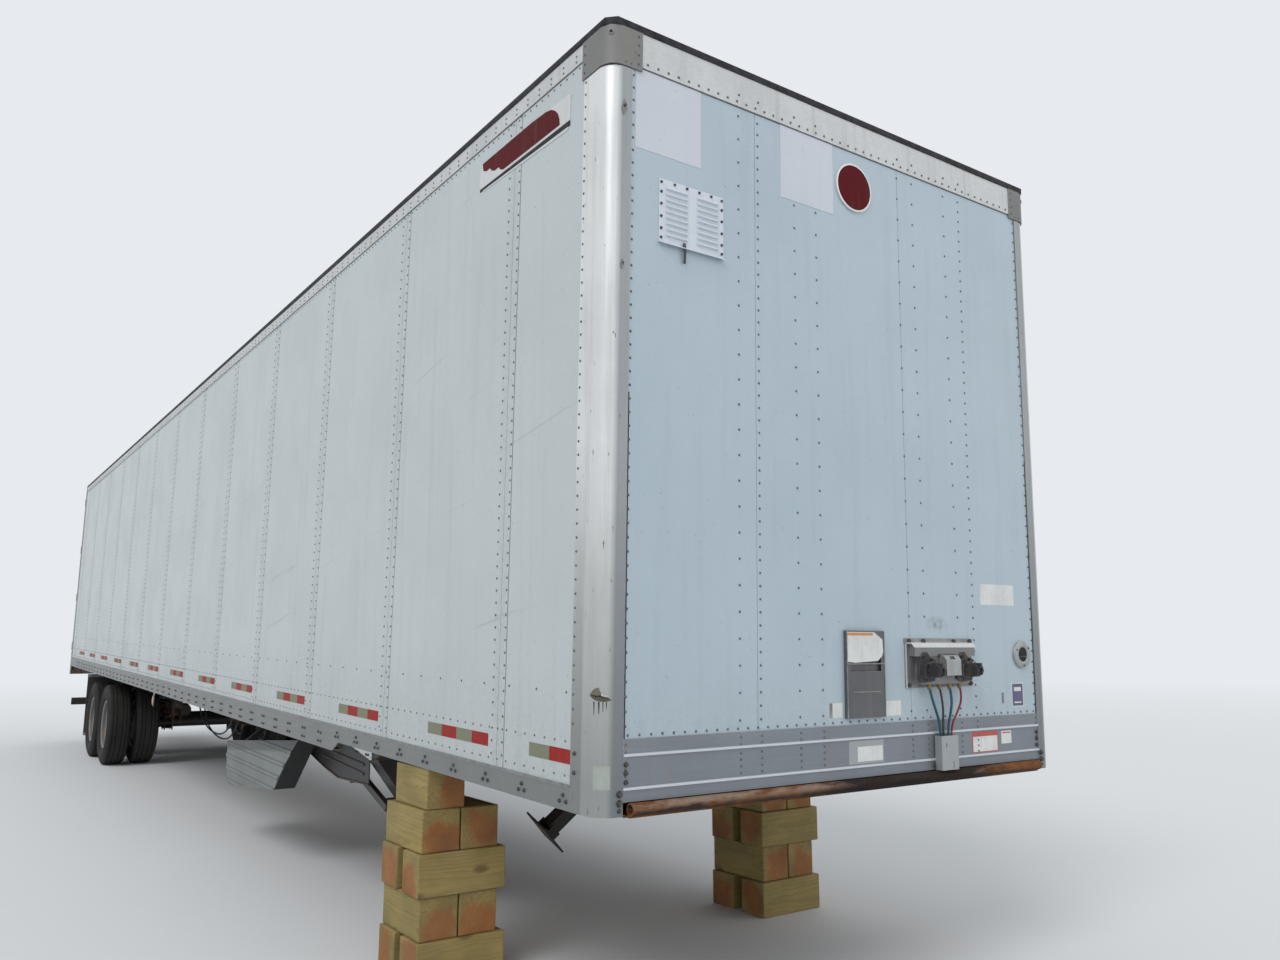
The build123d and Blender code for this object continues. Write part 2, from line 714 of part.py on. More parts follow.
# spring ends and hangers; the equaliser tips so that each axle finds its own height
seat_top = axle_tube + seat_height
pack_height = leaf_count * leaf_thick
front_end_z = axles_z[0] + seat_top + pack_height + leaf_camber
hang_x = [axles_x[0] + spring_reach, mid_x, axles_x[1] - spring_reach]
arm = axle_spread / 2 - spring_reach
tip = (axles_z[0] - axles_z[1]) / 2
pivot_rise = 44.0
equaliser_trim = 1.27
equaliser_rise = 4.3
pad_rise = {1: 21.0, -1: 22.4}
pad_z = (axles_z[0] + axles_z[1]) / 2 + seat_top + pack_height + leaf_camber
hangers = []
equalisers = []
for s in (-1, 1):
    y0 = s * (spring_y - 50)
    y1 = s * (spring_y + 50)
    for x, lean in ((hang_x[0], 1), (hang_x[2], -1)):
        outline = [
            (x - lean * 70, bogie_low),
            (x + lean * 150, bogie_low),
            (x + lean * 80, pad_z - 110),
            (x + lean * 40, pad_z - 150),
            (x - lean * 10, pad_z - 150),
            (x - lean * 55, pad_z - 20),
        ]
        hanger = along_y(outline, y0, y1)
        inner = block(x - 200, x + 200, y0 + s * 8, y1 - s * 8, pad_z - 200, pad_z + 48)
        hanger -= inner
        hanger += rod((x, y0 + s * 6, pad_z + pad_rise[lean]), (x, y1 - s * 6, pad_z + pad_rise[lean]), 20)
        hangers.append(hanger)
    outline = [
        (mid_x - 110, bogie_low),
        (mid_x + 110, bogie_low),
        (mid_x + 62, pad_z - 60),
        (mid_x + 30, pad_z - 130),
        (mid_x - 30, pad_z - 130),
        (mid_x - 62, pad_z - 60),
    ]
    hanger = along_y(outline, y0, y1)
    hanger -= block(mid_x - 200, mid_x + 200, y0 + s * 8, y1 - s * 8, pad_z - 200, pad_z + 132)
    hanger -= rod((mid_x, y0 - s, pad_z + pivot_rise), (mid_x, y1 + s, pad_z + pivot_rise), 24)
    hangers.append(hanger)
    beam = along_y(
        [
            (-arm - 42, 16),
            (-arm - 14, 0),
            (-arm + 12, 0),
            (-arm + 28, 12),
            (-36, 36),
            (36, 36),
            (arm - 28, 12),
            (arm - 12, 0),
            (arm + 14, 0),
            (arm + 42, 16),
            (arm + 42, 36),
            (40, 84),
            (-40, 84),
            (-arm - 42, 36),
        ],
        -36,
        36,
    )
    lean = math.degrees(math.atan2(2 * tip, arm)) + equaliser_trim
    pivot_z = pad_z + pivot_rise
    beam = Pos(mid_x, s * spring_y, pivot_z) * Rot(0, -lean, 0) * Pos(0, 0, -pivot_rise + equaliser_rise) * beam
    pivot = rod((mid_x, s * (spring_y - 50), pivot_z), (mid_x, s * (spring_y + 50), pivot_z), 24)
    equalisers.append(beam + pivot)
# radius rods from the hanger feet to the fronts of the axle seats
rod_eye = 30.0
rod_bar = 19.0
eye_play = 0.4
rods = []
for x, z, hang, drop in ((axles_x[0], axles_z[0], hang_x[0], 116.0), (axles_x[1], axles_z[1], mid_x, 100.0)):
    for s in (-1, 1):
        y = s * spring_y
        front = (hang, y, pad_z - drop)
        back = (x + 62 + rod_eye + eye_play, y, z + 34)
        bar = rod(front, back, rod_bar)
        bar += rod((front[0], y - 41.6, front[2]), (front[0], y + 41.6, front[2]), rod_eye)
        bar += rod((back[0], y - 30, back[2]), (back[0], y + 30, back[2]), rod_eye)
        rods.append(bar)
keep("spring_hangers", hangers + equalisers + rods)

# leaf packs: curved leaves that nest on one centre, longest on top, with their clamps
bend = (spring_reach**2 + leaf_camber**2) / (2 * leaf_camber)
leaf_reach = [290.0, 430.0, spring_reach + 34.0]
spring_lean = math.degrees(math.atan2(tip, spring_reach))
packs = []
clamps = []
for x, z in zip(axles_x, axles_z):
    for s in (-1, 1):
        place = Pos(x, s * spring_y, z + seat_top) * Rot(0, spring_lean, 0)
        for j in range(leaf_count):
            low = bend - j * leaf_thick
            high = low - leaf_thick + 0.2
            turn = math.asin(leaf_reach[j] / bend)
            sx = math.sin(turn)
            cx = math.cos(turn)
            w0 = -leaf_width / 2
            arc_low = ThreePointArc(
                (-low * sx, w0, bend - low * cx), (0, w0, bend - low), (low * sx, w0, bend - low * cx)
            )
            arc_high = ThreePointArc(
                (high * sx, w0, bend - high * cx), (0, w0, bend - high), (-high * sx, w0, bend - high * cx)
            )
            leaf_face = make_face(arc_low + Line(arc_low @ 1, arc_high @ 0) + arc_high
                                  + Line(arc_high @ 1, arc_low @ 0))
            packs.append(place * extrude(leaf_face, amount=leaf_width, dir=(0, 1, 0)))
        top = place * block(-88, 88, -56, 56, pack_height + 1.6, pack_height + 15)
        clamps.append(top)
        low_z = z - axle_tube - 14
        clamps.append(block(x - 88, x + 88, s * spring_y - 56, s * spring_y + 56, low_z, low_z + 13.7))
        for dx in (-73, 73):
            for dy in (-47, 47):
                bolt = rod(
                    (x + dx, s * spring_y + dy, low_z - 22),
                    (x + dx, s * spring_y + dy, z + seat_top + pack_height + 38),
                    8,
                )
                clamps.append(bolt)
keep("leaf_springs", packs + clamps)

# axles: tube, spindles, spring seats, shields; cam shafts and brake chambers
axle_list = []
brake_list = []
half_track = track / 2
for x, z in zip(axles_x, axles_z):
    tube = rod((x, -half_track + 232, z), (x, half_track - 232, z), axle_tube)
    for s in (-1, 1):
        tube += rod((x, s * (half_track - 240), z), (x, s * (half_track + 66), z), spindle)
        tube += rod((x, s * (half_track - 232), z), (x, s * (half_track - 223), z), 190)
        seat = Pos(x, s * spring_y, z) * block(-62, 62, -40, 40, 0, seat_top + 4)
        cut = Pos(x, s * spring_y, z + seat_top) * Rot(0, spring_lean, 0) * block(-90, 90, -50, 50, 0, 60)
        tube += seat - cut
    axle_list.append(tube)
    for s in (-1, 1):
        cam_x = x - 118
        chamber_y = 330.0
        cam = rod((cam_x, s * 300, z - 4), (cam_x, s * (half_track - 234), z - 4), 19)
        slack = along_y(
            [(cam_x - 34, z - 40), (cam_x + 34, z - 40), (cam_x + 22, z + 176), (cam_x - 22, z + 176)],
            s * 330 - 11,
            s * 330 + 11,
        )
        push = rod((cam_x, s * 330, z + 156), (x - 40, s * 330, z + 156), 9)
        bracket = block(x - 46, x - 38, s * 330 - 76, s * 330 + 76, z + 64, z + 240)
        brake_list.append(cam + slack + push + bracket)
        can = [
            (0, 0),
            (80, 0),
            (80, 40),
            (88, 42),
            (88, 58),
            (80, 60),
            (74, 84),
            (78, 96),
            (88, 98),
            (88, 114),
            (80, 116),
            (80, 176),
            (66, 192),
            (0, 192),
        ]
        can_face = make_face(Polyline([(r, 0, d) for r, d in can], close=True))
        chamber = Pos(x - 38, s * 330, z + 156) * Rot(0, 90, 0) * revolve(can_face, Axis.Z, 360)
        brake_list.append(chamber)
        brake_list.append(block(x - 38, x + 30, s * 330 - 30, s * 330 + 30, z + 63.7, z + 67))
keep("axles", axle_list)
keep("brakes", brake_list)

# wheels: a pair of tyres and rims on one hub at each end of each axle
bead = rim_radius + 0.3
tyre_half = tyre_width / 2
tyre_outline = [
    (bead, -98),
    (300, -100),
    (318, -tyre_half + 14),
    (372, -tyre_half + 2),
    (420, -tyre_half),
    (462, -tyre_half + 6),
    (492, -tyre_half + 20),
    (tyre_radius - 2, -tyre_half + 32),
    (tyre_radius, 0),
    (tyre_radius - 2, tyre_half - 32),
    (492, tyre_half - 20),
    (462, tyre_half - 6),
    (420, tyre_half),
    (372, tyre_half - 2),
    (318, tyre_half - 14),
    (300, 100),
    (bead, 98),
]
tyre = turned(tyre_outline)
barrel_outline = [
    (298, -112),
    (298, -105),
    (rim_radius, -99),
    (284, -70),
    (250, -42),
    (250, 22),
    (284, 64),
    (rim_radius, 99),
    (298, 105),
    (298, 112),
    (288, 112),
    (276, 98),
    (275, 68),
    (241, 27),
    (241, -46),
    (275, -74),
    (276, -98),
    (288, -112),
]
disc_outline = [
    (110, 0),
    (172, 0),
    (205, 22),
    (228, 60),
    (238, 100),
    (244, 124),
    (244, 160),
    (232, 160),
    (229, 134),
    (219, 104),
    (210, 70),
    (192, 36),
    (166, 11),
    (110, 11),
]
rim = Pos(0, dual_offset, 0) * turned(barrel_outline) + turned(disc_outline)
for i in range(10):
    turn = math.radians(36 * i)
    px = 208 * math.cos(turn)
    pz = 208 * math.sin(turn)
    rim -= rod((px, 14, pz), (px, 120, pz), 22)
hub_outline = [
    (hub_bore, -130),
    (82, -130),
    (86, -60),
    (166, -42),
    (166, -22),
    (109, -22),
    (109, 14),
    (82, 18),
    (80, 72),
    (66, 78),
    (64, 104),
    (0, 104),
    (0, 96),
    (hub_bore, 96),
]
drum_outline = [
    (109.5, -22),
    (205, -22),
    (205, -214),
    (226, -214),
    (226, -196),
    (221, -190),
    (221, -20),
    (214, -11),
    (109.5, -11),
]
hub = turned(hub_outline)
drum = turned(drum_outline)
inner_rim = mirror(rim, Plane.XZ)
for row, x, z in (("front", axles_x[0], axles_z[0]), ("rear", axles_x[1], axles_z[1])):
    for side, s in (("left", 1), ("right", -1)):
        tyres = [Pos(0, s * dual_offset, 0) * tyre, Pos(0, -s * dual_offset, 0) * tyre]
        metal = [rim, inner_rim, hub, drum]
        if s < 0:
            metal = [mirrored(m) for m in metal]
        place = Pos(x, s * half_track, z)
        keep(f"tyres_{row}_{side}", [place * t for t in tyres])
        keep(f"wheels_{row}_{side}", [place * m for m in metal])

# landing gear: both legs folded inward below their brackets
leg_x = -2960.0
leg_y = 900.0
leg_box = 118.0
leg_bend_z = -150.0
gear_parts = []
for s, fold, swing in ((-1, 34.0, 12.0), (1, 46.0, -16.0)):
    mount = block(leg_x - 90, leg_x + 90, s * leg_y - 75, s * leg_y + 75, beam_low - 10, beam_low)
    upper = block(leg_x - 59, leg_x + 59, s * leg_y - 59, s * leg_y + 59, leg_bend_z, beam_low - 10)
    lower = block(-59, 59, -59, 59, -560, 40)
    inner_leg = block(-47, 47, -47, 47, -800, -560)
    ankle = rod((-70, 0, -800), (70, 0, -800), 22)
    shoe = block(-125, 125, -125, 125, -846, -834)
    cheeks = block(-70, -58, -45, 45, -834, -778) + block(58, 70, -45, 45, -834, -778)
    leg = lower + inner_leg + ankle + shoe + cheeks
    leg = Pos(leg_x, s * leg_y, leg_bend_z) * Rot(0, -swing, 0) * Rot(s * -fold, 0, 0) * leg
    boot = block(leg_x - 70, leg_x + 70, s * leg_y - 70, s * leg_y + 70, -92, -74)
    housing = block(leg_x - 46, leg_x + 46, s * (leg_y - 132), s * (leg_y - 59), -128, -66)
    housing += rod((leg_x, s * (leg_y - 160), -98), (leg_x, s * (leg_y - 131), -98), 24)
    gear_parts.append(mount + upper + boot + housing + leg)
    wing = along_y(
        [
            (leg_x - 55, leg_bend_z - 10),
            (leg_x - 55, leg_bend_z - 150),
            (leg_x - 340, leg_bend_z - 162),
            (leg_x - 600, leg_bend_z - 174),
            (leg_x - 860, leg_bend_z - 142),
            (leg_x - 1190, leg_bend_z - 86),
            (leg_x - 1190, beam_low),
            (leg_x - 880, beam_low),
        ],
        s * leg_y + s * 66,
        s * leg_y + s * 72,
    )
    gear_parts.append(wing)
keep("landing_gear", gear_parts)

# white skirt piece left under the right side: a bowed and ribbed shell with a rounded
# rear end, a raked flange across its front and a lip along its foot, on two struts
skirt_y = -half + 150.0
skirt_thick = 5.0
skirt_deep = 120.0
skirt_bow = 26.0
skirt_rib = 6.0
skirt_top = -60.0
skirt_foot = -640.0
skirt_turn_x = -5640.0
skirt_outer = [(skirt_y, skirt_top)]
for k in range(5):
    z = -180.0 - 95.0 * k
    bow = skirt_bow * math.sin(math.pi * (skirt_top - z) / (skirt_top - skirt_foot))
    y = skirt_y - bow
    skirt_outer += [(y, z), (y - skirt_rib, z - 8), (y - skirt_rib, z - 26), (y, z - 34)]
skirt_outer.append((skirt_y, skirt_foot))
skirt_inner = [(y + skirt_thick, z) for y, z in reversed(skirt_outer)]
skirt_section = skirt_outer + skirt_inner
skirt_side = [(-3850, -110), (-5700, -280), (-5790, -296), (-5790, -360), (-5735, -590), (-5690, -622), (-4290, -478)]
skirt_shape = along_y(skirt_side, skirt_y - 60, skirt_y + skirt_deep)
skirt_wall = along_x(skirt_section, skirt_turn_x, -3800)
turn_face = make_face(Polyline([(skirt_turn_x, y, z) for y, z in skirt_section], close=True))
turn_axis = Axis((skirt_turn_x, skirt_y + skirt_deep, 0), (0, 0, -1))
skirt_wall += revolve(turn_face, turn_axis, 90)
skirt_wall = skirt_wall & skirt_shape
room = skirt_outer + [(skirt_y + skirt_deep, skirt_foot), (skirt_y + skirt_deep, skirt_top)]
room = along_x(room, skirt_turn_x, -3800)
flange = along_y([(-3850, -110), (-3856, -110.6), (-4297, -478.7), (-4290, -478)], skirt_y - 60, skirt_y + skirt_deep)
lip = along_y([(-4290, -478), (-4290, -472.5), (-5640, -610.6), (-5640, -616.7)], skirt_y - 60, skirt_y + 70)
skirt = skirt_wall + (flange & room) + (lip & room)
strut_x = [coupler_back_x - 200 - n * beam_spacing for n in (9, 13)]
strut_seat = 0.3


def shell_inside(z):
    """Where the shell's inner face is at a height."""
    for (y0, z0), (y1, z1) in zip(skirt_outer, skirt_outer[1:]):
        if z1 <= z <= z0:
            return y0 + (y1 - y0) * (z - z0) / (z1 - z0) + skirt_thick


struts = []
for x in strut_x:
    struts.append(
        along_x(
            [
                (shell_inside(-362) + strut_seat, -362),
                (shell_inside(-316) + strut_seat, -316),
                (skirt_y + 330, beam_low),
                (skirt_y + 380, beam_low),
            ],
            x - 20,
            x + 20,
        )
    )
keep("skirt_panel", [skirt] + struts)

# mud flaps behind the wheels
flaps = []
flap_x = axles_x[1] - tyre_radius - 190.0
for s in (-1, 1):
    flap = block(flap_x, flap_x + 8, s * 690, s * 1280, ground_z(flap_x, 240.0), slide_high - 60)
    arm_bar = block(flap_x - 30, flap_x, s * (spring_y + 60), s * 1280, slide_high - 96, slide_high - 60)
    drop = block(flap_x - 30, flap_x, s * (spring_y + 10), s * (spring_y + 60), slide_high - 96, slide_high - 8)
    flaps.append(flap)
    flaps.append(arm_bar + drop)
keep("mud_flaps", flaps)

# air lines that hang in loops between the body and the bogie
air_lines = []
line_x0 = coupler_back_x - 200 - 24 * beam_spacing
line_x1 = line_x0 - 7 * beam_spacing
for y, low, x0, x1 in ((-300.0, -690.0, line_x0, line_x1), (-360.0, -630.0, line_x0, line_x1)):
    span = x0 - x1
    pts = [
        (x0, y, beam_low - 0.4),
        (x0, y, -200),
        (x0 - span * 0.16, y, low * 0.82),
        (x0 - span * 0.36, y, low),
        (x0 - span * 0.64, y, low * 0.97),
        (x0 - span * 0.84, y, low * 0.8),
        (x1, y, -230),
        (x1, y, beam_low - 0.4),
    ]
    line = FilletPolyline(*pts, radius=90)
    air_lines.append(sweep(Plane(origin=line @ 0, z_dir=line % 0) * Circle(9), path=line))
keep("air_lines", air_lines)

# timber cribs under the nose, level on the ground
crib_x = -1405.0
crib_length = 430.0
crib_play = 0.3
cribs = []
cap_timber_x = crib_x - 8
rail_seat = stand_z(cap_timber_x) - crib_play
first_beam_x = coupler_back_x - 200 + beam_half
beam_seat = stand_z(first_beam_x, 7.0) - crib_play
for y_low, seat in ((-half, rail_seat), (half - 590.0, beam_seat)):
    for layer in range(crib_layers):
        z0 = layer * timber
        z1 = z0 + timber
        if layer == crib_layers - 1:
            cribs.append(block(cap_timber_x - 372, cap_timber_x, y_low + 4, y_low + 4 + timber, z0, seat))
        elif (crib_layers - layer) % 2 == 0:
            for y in (y_low - 18, y_low - 12 + timber):
                cribs.append(block(crib_x - crib_length, crib_x, y, y + timber, z0, z1))
        else:
            for x in (crib_x + 12 - timber, crib_x + 4 - crib_length):
                cribs.append(block(x, x + timber, y_low - 34, y_low + 392, z0, z1))
crib_shift = Pos(frame_forward, 0, 0)
keep("timber_cribs", [crib_shift * c for c in cribs], placed=False)
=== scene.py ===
import bpy, bmesh, math, random
from mathutils import Matrix, Vector


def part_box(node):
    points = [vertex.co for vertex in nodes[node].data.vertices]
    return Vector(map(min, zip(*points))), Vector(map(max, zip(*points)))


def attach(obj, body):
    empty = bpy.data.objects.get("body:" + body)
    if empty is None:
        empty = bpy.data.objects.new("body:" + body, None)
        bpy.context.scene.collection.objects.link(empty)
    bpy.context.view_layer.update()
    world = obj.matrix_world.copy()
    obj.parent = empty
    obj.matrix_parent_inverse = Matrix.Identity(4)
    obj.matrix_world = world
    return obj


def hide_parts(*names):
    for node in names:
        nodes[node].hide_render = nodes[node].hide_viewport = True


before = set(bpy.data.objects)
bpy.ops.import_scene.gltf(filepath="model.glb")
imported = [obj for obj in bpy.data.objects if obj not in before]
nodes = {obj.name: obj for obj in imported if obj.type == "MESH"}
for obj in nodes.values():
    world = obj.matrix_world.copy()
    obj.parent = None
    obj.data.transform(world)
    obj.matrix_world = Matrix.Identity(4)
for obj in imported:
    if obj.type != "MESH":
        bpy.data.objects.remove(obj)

scene = bpy.context.scene
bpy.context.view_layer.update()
print("frame loaded,", len(nodes), "nodes")

# the trailer stands nose down
# level sizes: x from the nose (back is minus), y to the left, z above the rail foot
stand = {"nose": 8.040, "height": 0.8823, "pitch": 1.34}
lifted = Matrix.Translation((stand["nose"], 0, stand["height"]))
lean = lifted @ Matrix.Rotation(math.radians(stand["pitch"]), 4, "Y")
van = {"length": 16.154, "half": 1.2955, "skin": 1.2905, "topRail": 2.826,
       "nose": -0.006, "noseTop": 2.757, "firstSeam": 0.75, "seamPitch": 1.2446, "seams": 13,
       "firstBow": 0.300, "bowPitch": 0.62136}
seamPlaces = [-van["firstSeam"] - i * van["seamPitch"] for i in range(van["seams"])]


def newObject(name, data):
    made = bpy.data.objects.new(name, data)
    scene.collection.objects.link(made)
    return made


# camera, placed as the photo was taken
view = {"lens": 28.03, "place": (10.9623, -3.1568, 1.4409), "right": (0.572400, 0.819972, -0.002000),
        "up": (0.138901, -0.094558, 0.985782), "back": (0.808124, -0.564539, -0.168020)}
cameraData = bpy.data.cameras.new("photoCamera")
cameraData.sensor_width = 36
cameraData.lens = view["lens"]
cameraData.clip_end = 400
camera = newObject("photoCamera", cameraData)
turn = Matrix((view["right"], view["up"], view["back"])).transposed().to_4x4()
camera.matrix_world = Matrix.Translation(view["place"]) @ turn
scene.camera = camera
scene.view_settings.view_transform = "Standard"


# small helpers for node trees: a tint is three numbers, and wires are sockets or plain values
def put(tree, kind, wires=None, **settings):
    made = tree.nodes.new(kind)
    for key, value in settings.items():
        setattr(made, key, value)
    for key, value in (wires or {}).items():
        join(tree, value, made.inputs[key])
    return made


def join(tree, value, socket):
    if isinstance(value, bpy.types.NodeSocket):
        tree.links.new(value, socket)
    elif socket.type == "RGBA":
        socket.default_value = (*value, 1.0)
    else:
        socket.default_value = value


def mathOf(tree, operation, first, second=0.0):
    return put(tree, "ShaderNodeMath", {0: first, 1: second}, operation=operation).outputs[0]


def times(tree, first, second):
    return mathOf(tree, "MULTIPLY", first, second)


def plus(tree, first, second):
    return mathOf(tree, "ADD", first, second)


def minus(tree, first, second):
    return mathOf(tree, "SUBTRACT", first, second)


def sizeOf(tree, value):
    return mathOf(tree, "ABSOLUTE", value)


def spread(tree, value, low, high, toLow=0.0, toHigh=1.0):
    return put(tree, "ShaderNodeMapRange", {0: value, 1: low, 2: high, 3: toLow, 4: toHigh}).outputs[0]


def mixOf(tree, factor, first, second):
    return put(tree, "ShaderNodeMix", {0: factor, 6: first, 7: second}, data_type="RGBA").outputs[2]


# lays a tint over the base where the mask is, as strong as amount
def stain(tree, base, mask, amount, tint):
    return mixOf(tree, times(tree, mask, amount), base, tint)


def shade(tint, red, green=None, blue=None, lift=(0.0, 0.0, 0.0)):
    scales = (red, red if green is None else green, red if blue is None else blue)
    return [part * scale + more for part, scale, more in zip(tint, scales, lift)]


def objectPlace(tree):
    return put(tree, "ShaderNodeTexCoord").outputs["Object"]


def facingOf(tree):
    return put(tree, "ShaderNodeSeparateXYZ",
               {0: put(tree, "ShaderNodeNewGeometry").outputs["Normal"]}).outputs


# 1 where a ray comes from the camera, also by way of a mirror or through glass
def seenOf(tree):
    path = put(tree, "ShaderNodeLightPath").outputs
    bent = mathOf(tree, "MAXIMUM", path["Is Glossy Ray"], path["Is Transmission Ray"])
    return mathOf(tree, "MAXIMUM", path["Is Camera Ray"], bent)


def noiseOf(tree, place, scale, detail=4.0, rough=0.55, stretch=None):
    if stretch:
        place = put(tree, "ShaderNodeMapping", {"Vector": place, "Scale": stretch}).outputs[0]
    wires = {"Vector": place, "Scale": scale, "Detail": detail, "Roughness": rough}
    return put(tree, "ShaderNodeTexNoise", wires).outputs[0]


def cellsOf(tree, place, scale, result=0, **settings):
    return put(tree, "ShaderNodeTexVoronoi", {"Vector": place, "Scale": scale}, **settings).outputs[result]


def newGroup(name, inputs, outputs):
    tree = bpy.data.node_groups.new(name, "ShaderNodeTree")
    for label, value in inputs.items():
        kind = "NodeSocketVector" if isinstance(value, tuple) else "NodeSocketFloat"
        tree.interface.new_socket(name=label, in_out="INPUT", socket_type=kind).default_value = value
    for label in outputs:
        kind = {"Place": "NodeSocketVector", "Colour": "NodeSocketColor"}.get(label, "NodeSocketFloat")
        tree.interface.new_socket(name=label, in_out="OUTPUT", socket_type=kind)
    return tree, put(tree, "NodeGroupInput").outputs


def sendOut(tree, **results):
    put(tree, "NodeGroupOutput", results)


def placeGroup(tree, group, **values):
    wires = {key[0].upper() + key[1:]: value for key, value in values.items()}
    return put(tree, "ShaderNodeGroup", wires, node_tree=group).outputs


# level place on the trailer: Along is minus behind the nose, Across plus to the left, Up above the rail foot
levelPlace = newGroup("levelPlace", {}, ("Place", "Along", "Across", "Up"))[0]
tilt = {"Vector": objectPlace(levelPlace), "Location": (stand["nose"], 0, stand["height"]),
        "Rotation": (0, math.radians(stand["pitch"]), 0)}
levelled = put(levelPlace, "ShaderNodeMapping", tilt, vector_type="TEXTURE").outputs[0]
parts = put(levelPlace, "ShaderNodeSeparateXYZ", {0: levelled}).outputs
sendOut(levelPlace, Place=levelled, Along=parts[0], Across=parts[1], Up=parts[2])

# grime: soft blotches, thin runs of rain dirt, and road splash that fades with height
tree, given = newGroup("roadGrime", {"Scale": 1.0, "Splash": 0.8},
                       ("Blotch", "Runs", "Splash", "Specks", "Fine"))
grimeGroup = tree
spot = objectPlace(tree)
blotch = noiseOf(tree, spot, times(tree, given["Scale"], 1.7), 6, 0.62)
fine = noiseOf(tree, spot, times(tree, given["Scale"], 38.0), 5, 0.6)
runs = noiseOf(tree, spot, times(tree, given["Scale"], 16.0), 5, 0.6, (1.0, 1.0, 0.045))
specks = noiseOf(tree, spot, times(tree, given["Scale"], 95.0), 2, 0.5)
height = put(tree, "ShaderNodeSeparateXYZ", {0: spot}).outputs[2]
low = spread(tree, plus(tree, height, times(tree, blotch, 0.5)), given["Splash"], 0.2)
sendOut(tree, Blotch=spread(tree, blotch, 0.42, 0.72), Runs=spread(tree, runs, 0.52, 0.75),
        Splash=times(tree, low, spread(tree, fine, 0.25, 0.6)), Specks=spread(tree, specks, 0.70, 0.76),
        Fine=fine)

# worn edges: where the rounded normal leaves the flat one
tree, given = newGroup("wornEdge", {"Radius": 0.006, "Patch": 30.0}, ("Edge",))
edgeGroup = tree
rounded = put(tree, "ShaderNodeBevel", {"Radius": given["Radius"]}, samples=4).outputs[0]
flat = put(tree, "ShaderNodeNewGeometry").outputs["Normal"]
away = put(tree, "ShaderNodeVectorMath", {0: rounded, 1: flat}, operation="DOT_PRODUCT").outputs["Value"]
patchy = noiseOf(tree, objectPlace(tree), given["Patch"], 4, 0.6)
sendOut(tree, Edge=times(tree, spread(tree, away, 0.995, 0.88), spread(tree, patchy, 0.38, 0.6)))

# rust: colour, where it is, and its crust
rustTones = ((0.30, (0.055, 0.022, 0.012)), (0.50, (0.21, 0.080, 0.030)), (0.72, (0.50, 0.215, 0.075)))
tree, given = newGroup("rustCrust", {"Scale": 1.0, "Amount": 0.5}, ("Colour", "Rust", "Crust"))
rustGroup = tree
spot = objectPlace(tree)
wide = noiseOf(tree, spot, times(tree, given["Scale"], 4.5), 8, 0.68)
crust = noiseOf(tree, spot, times(tree, given["Scale"], 60.0), 6, 0.65)
tone = put(tree, "ShaderNodeValToRGB", {0: crust})
stops = tone.color_ramp.elements
stops.new(rustTones[1][0])
for stop, (place, tint) in zip(stops, rustTones):
    stop.position, stop.color = place, (*tint, 1.0)
edgeAt = minus(tree, 1.0, given["Amount"])
mixed = plus(tree, times(tree, wide, 0.75), times(tree, crust, 0.25))
where = spread(tree, mixed, minus(tree, edgeAt, 0.06), plus(tree, edgeAt, 0.05))
sendOut(tree, Colour=tone.outputs[0], Rust=where, Crust=crust)

# sheet waves: the slight pillowing of thin riveted sheet
tree, given = newGroup("sheetWaves", {"Size": 1.0}, ("Waves",))
waveGroup = tree
spot = objectPlace(tree)
big = noiseOf(tree, spot, times(tree, given["Size"], 1.6), 2, 0.4, (1.0, 1.0, 0.5))
small = noiseOf(tree, spot, times(tree, given["Size"], 9.0), 3, 0.5, (1.0, 1.0, 0.35))
sendOut(tree, Waves=plus(tree, big, times(tree, small, 0.12)))

# brushed or drawn metal: long fine lines along one direction
tree, given = newGroup("drawnLines", {"Stretch": (1.0, 40.0, 40.0), "Scale": 6.0}, ("Lines",))
drawnGroup = tree
pulled = {0: objectPlace(tree), 1: given["Stretch"]}
pulled = put(tree, "ShaderNodeVectorMath", pulled, operation="MULTIPLY").outputs[0]
sendOut(tree, Lines=noiseOf(tree, pulled, given["Scale"], 5.0, 0.5))
print("shared effects made")


# materials
def newFinish(name, metal=0.0):
    finish = bpy.data.materials.new(name)
    finish.use_nodes = True
    tree = finish.node_tree
    tree.nodes.clear()
    surface = put(tree, "ShaderNodeBsdfPrincipled", {"Metallic": metal})
    put(tree, "ShaderNodeOutputMaterial", {"Surface": surface.outputs[0]})
    return finish, tree, surface


def wire(tree, surface, base=None, rough=None, height=None, strength=0.3, distance=0.002, metal=None):
    if base is not None:
        tree.links.new(base, surface.inputs["Base Color"])
    if rough is not None:
        tree.links.new(rough, surface.inputs["Roughness"])
    if metal is not None:
        tree.links.new(metal, surface.inputs["Metallic"])
    if height is not None:
        bump = put(tree, "ShaderNodeBump", {"Strength": strength, "Distance": distance, "Height": height})
        tree.links.new(bump.outputs[0], surface.inputs["Normal"])


# the nose is the same white sheet as the sides; its tint is painted darker and bluer as shade on the nose
# wall
paint = {"side": (0.485, 0.530, 0.540), "nose": (0.400, 0.480, 0.535), "lining": (0.52, 0.50, 0.44),
         "vent": (0.60, 0.64, 0.70), "door": (0.50, 0.54, 0.55), "patch": (0.545, 0.570, 0.625),
         "dirt": (0.23, 0.20, 0.16), "greyDirt": (0.20, 0.21, 0.21)}


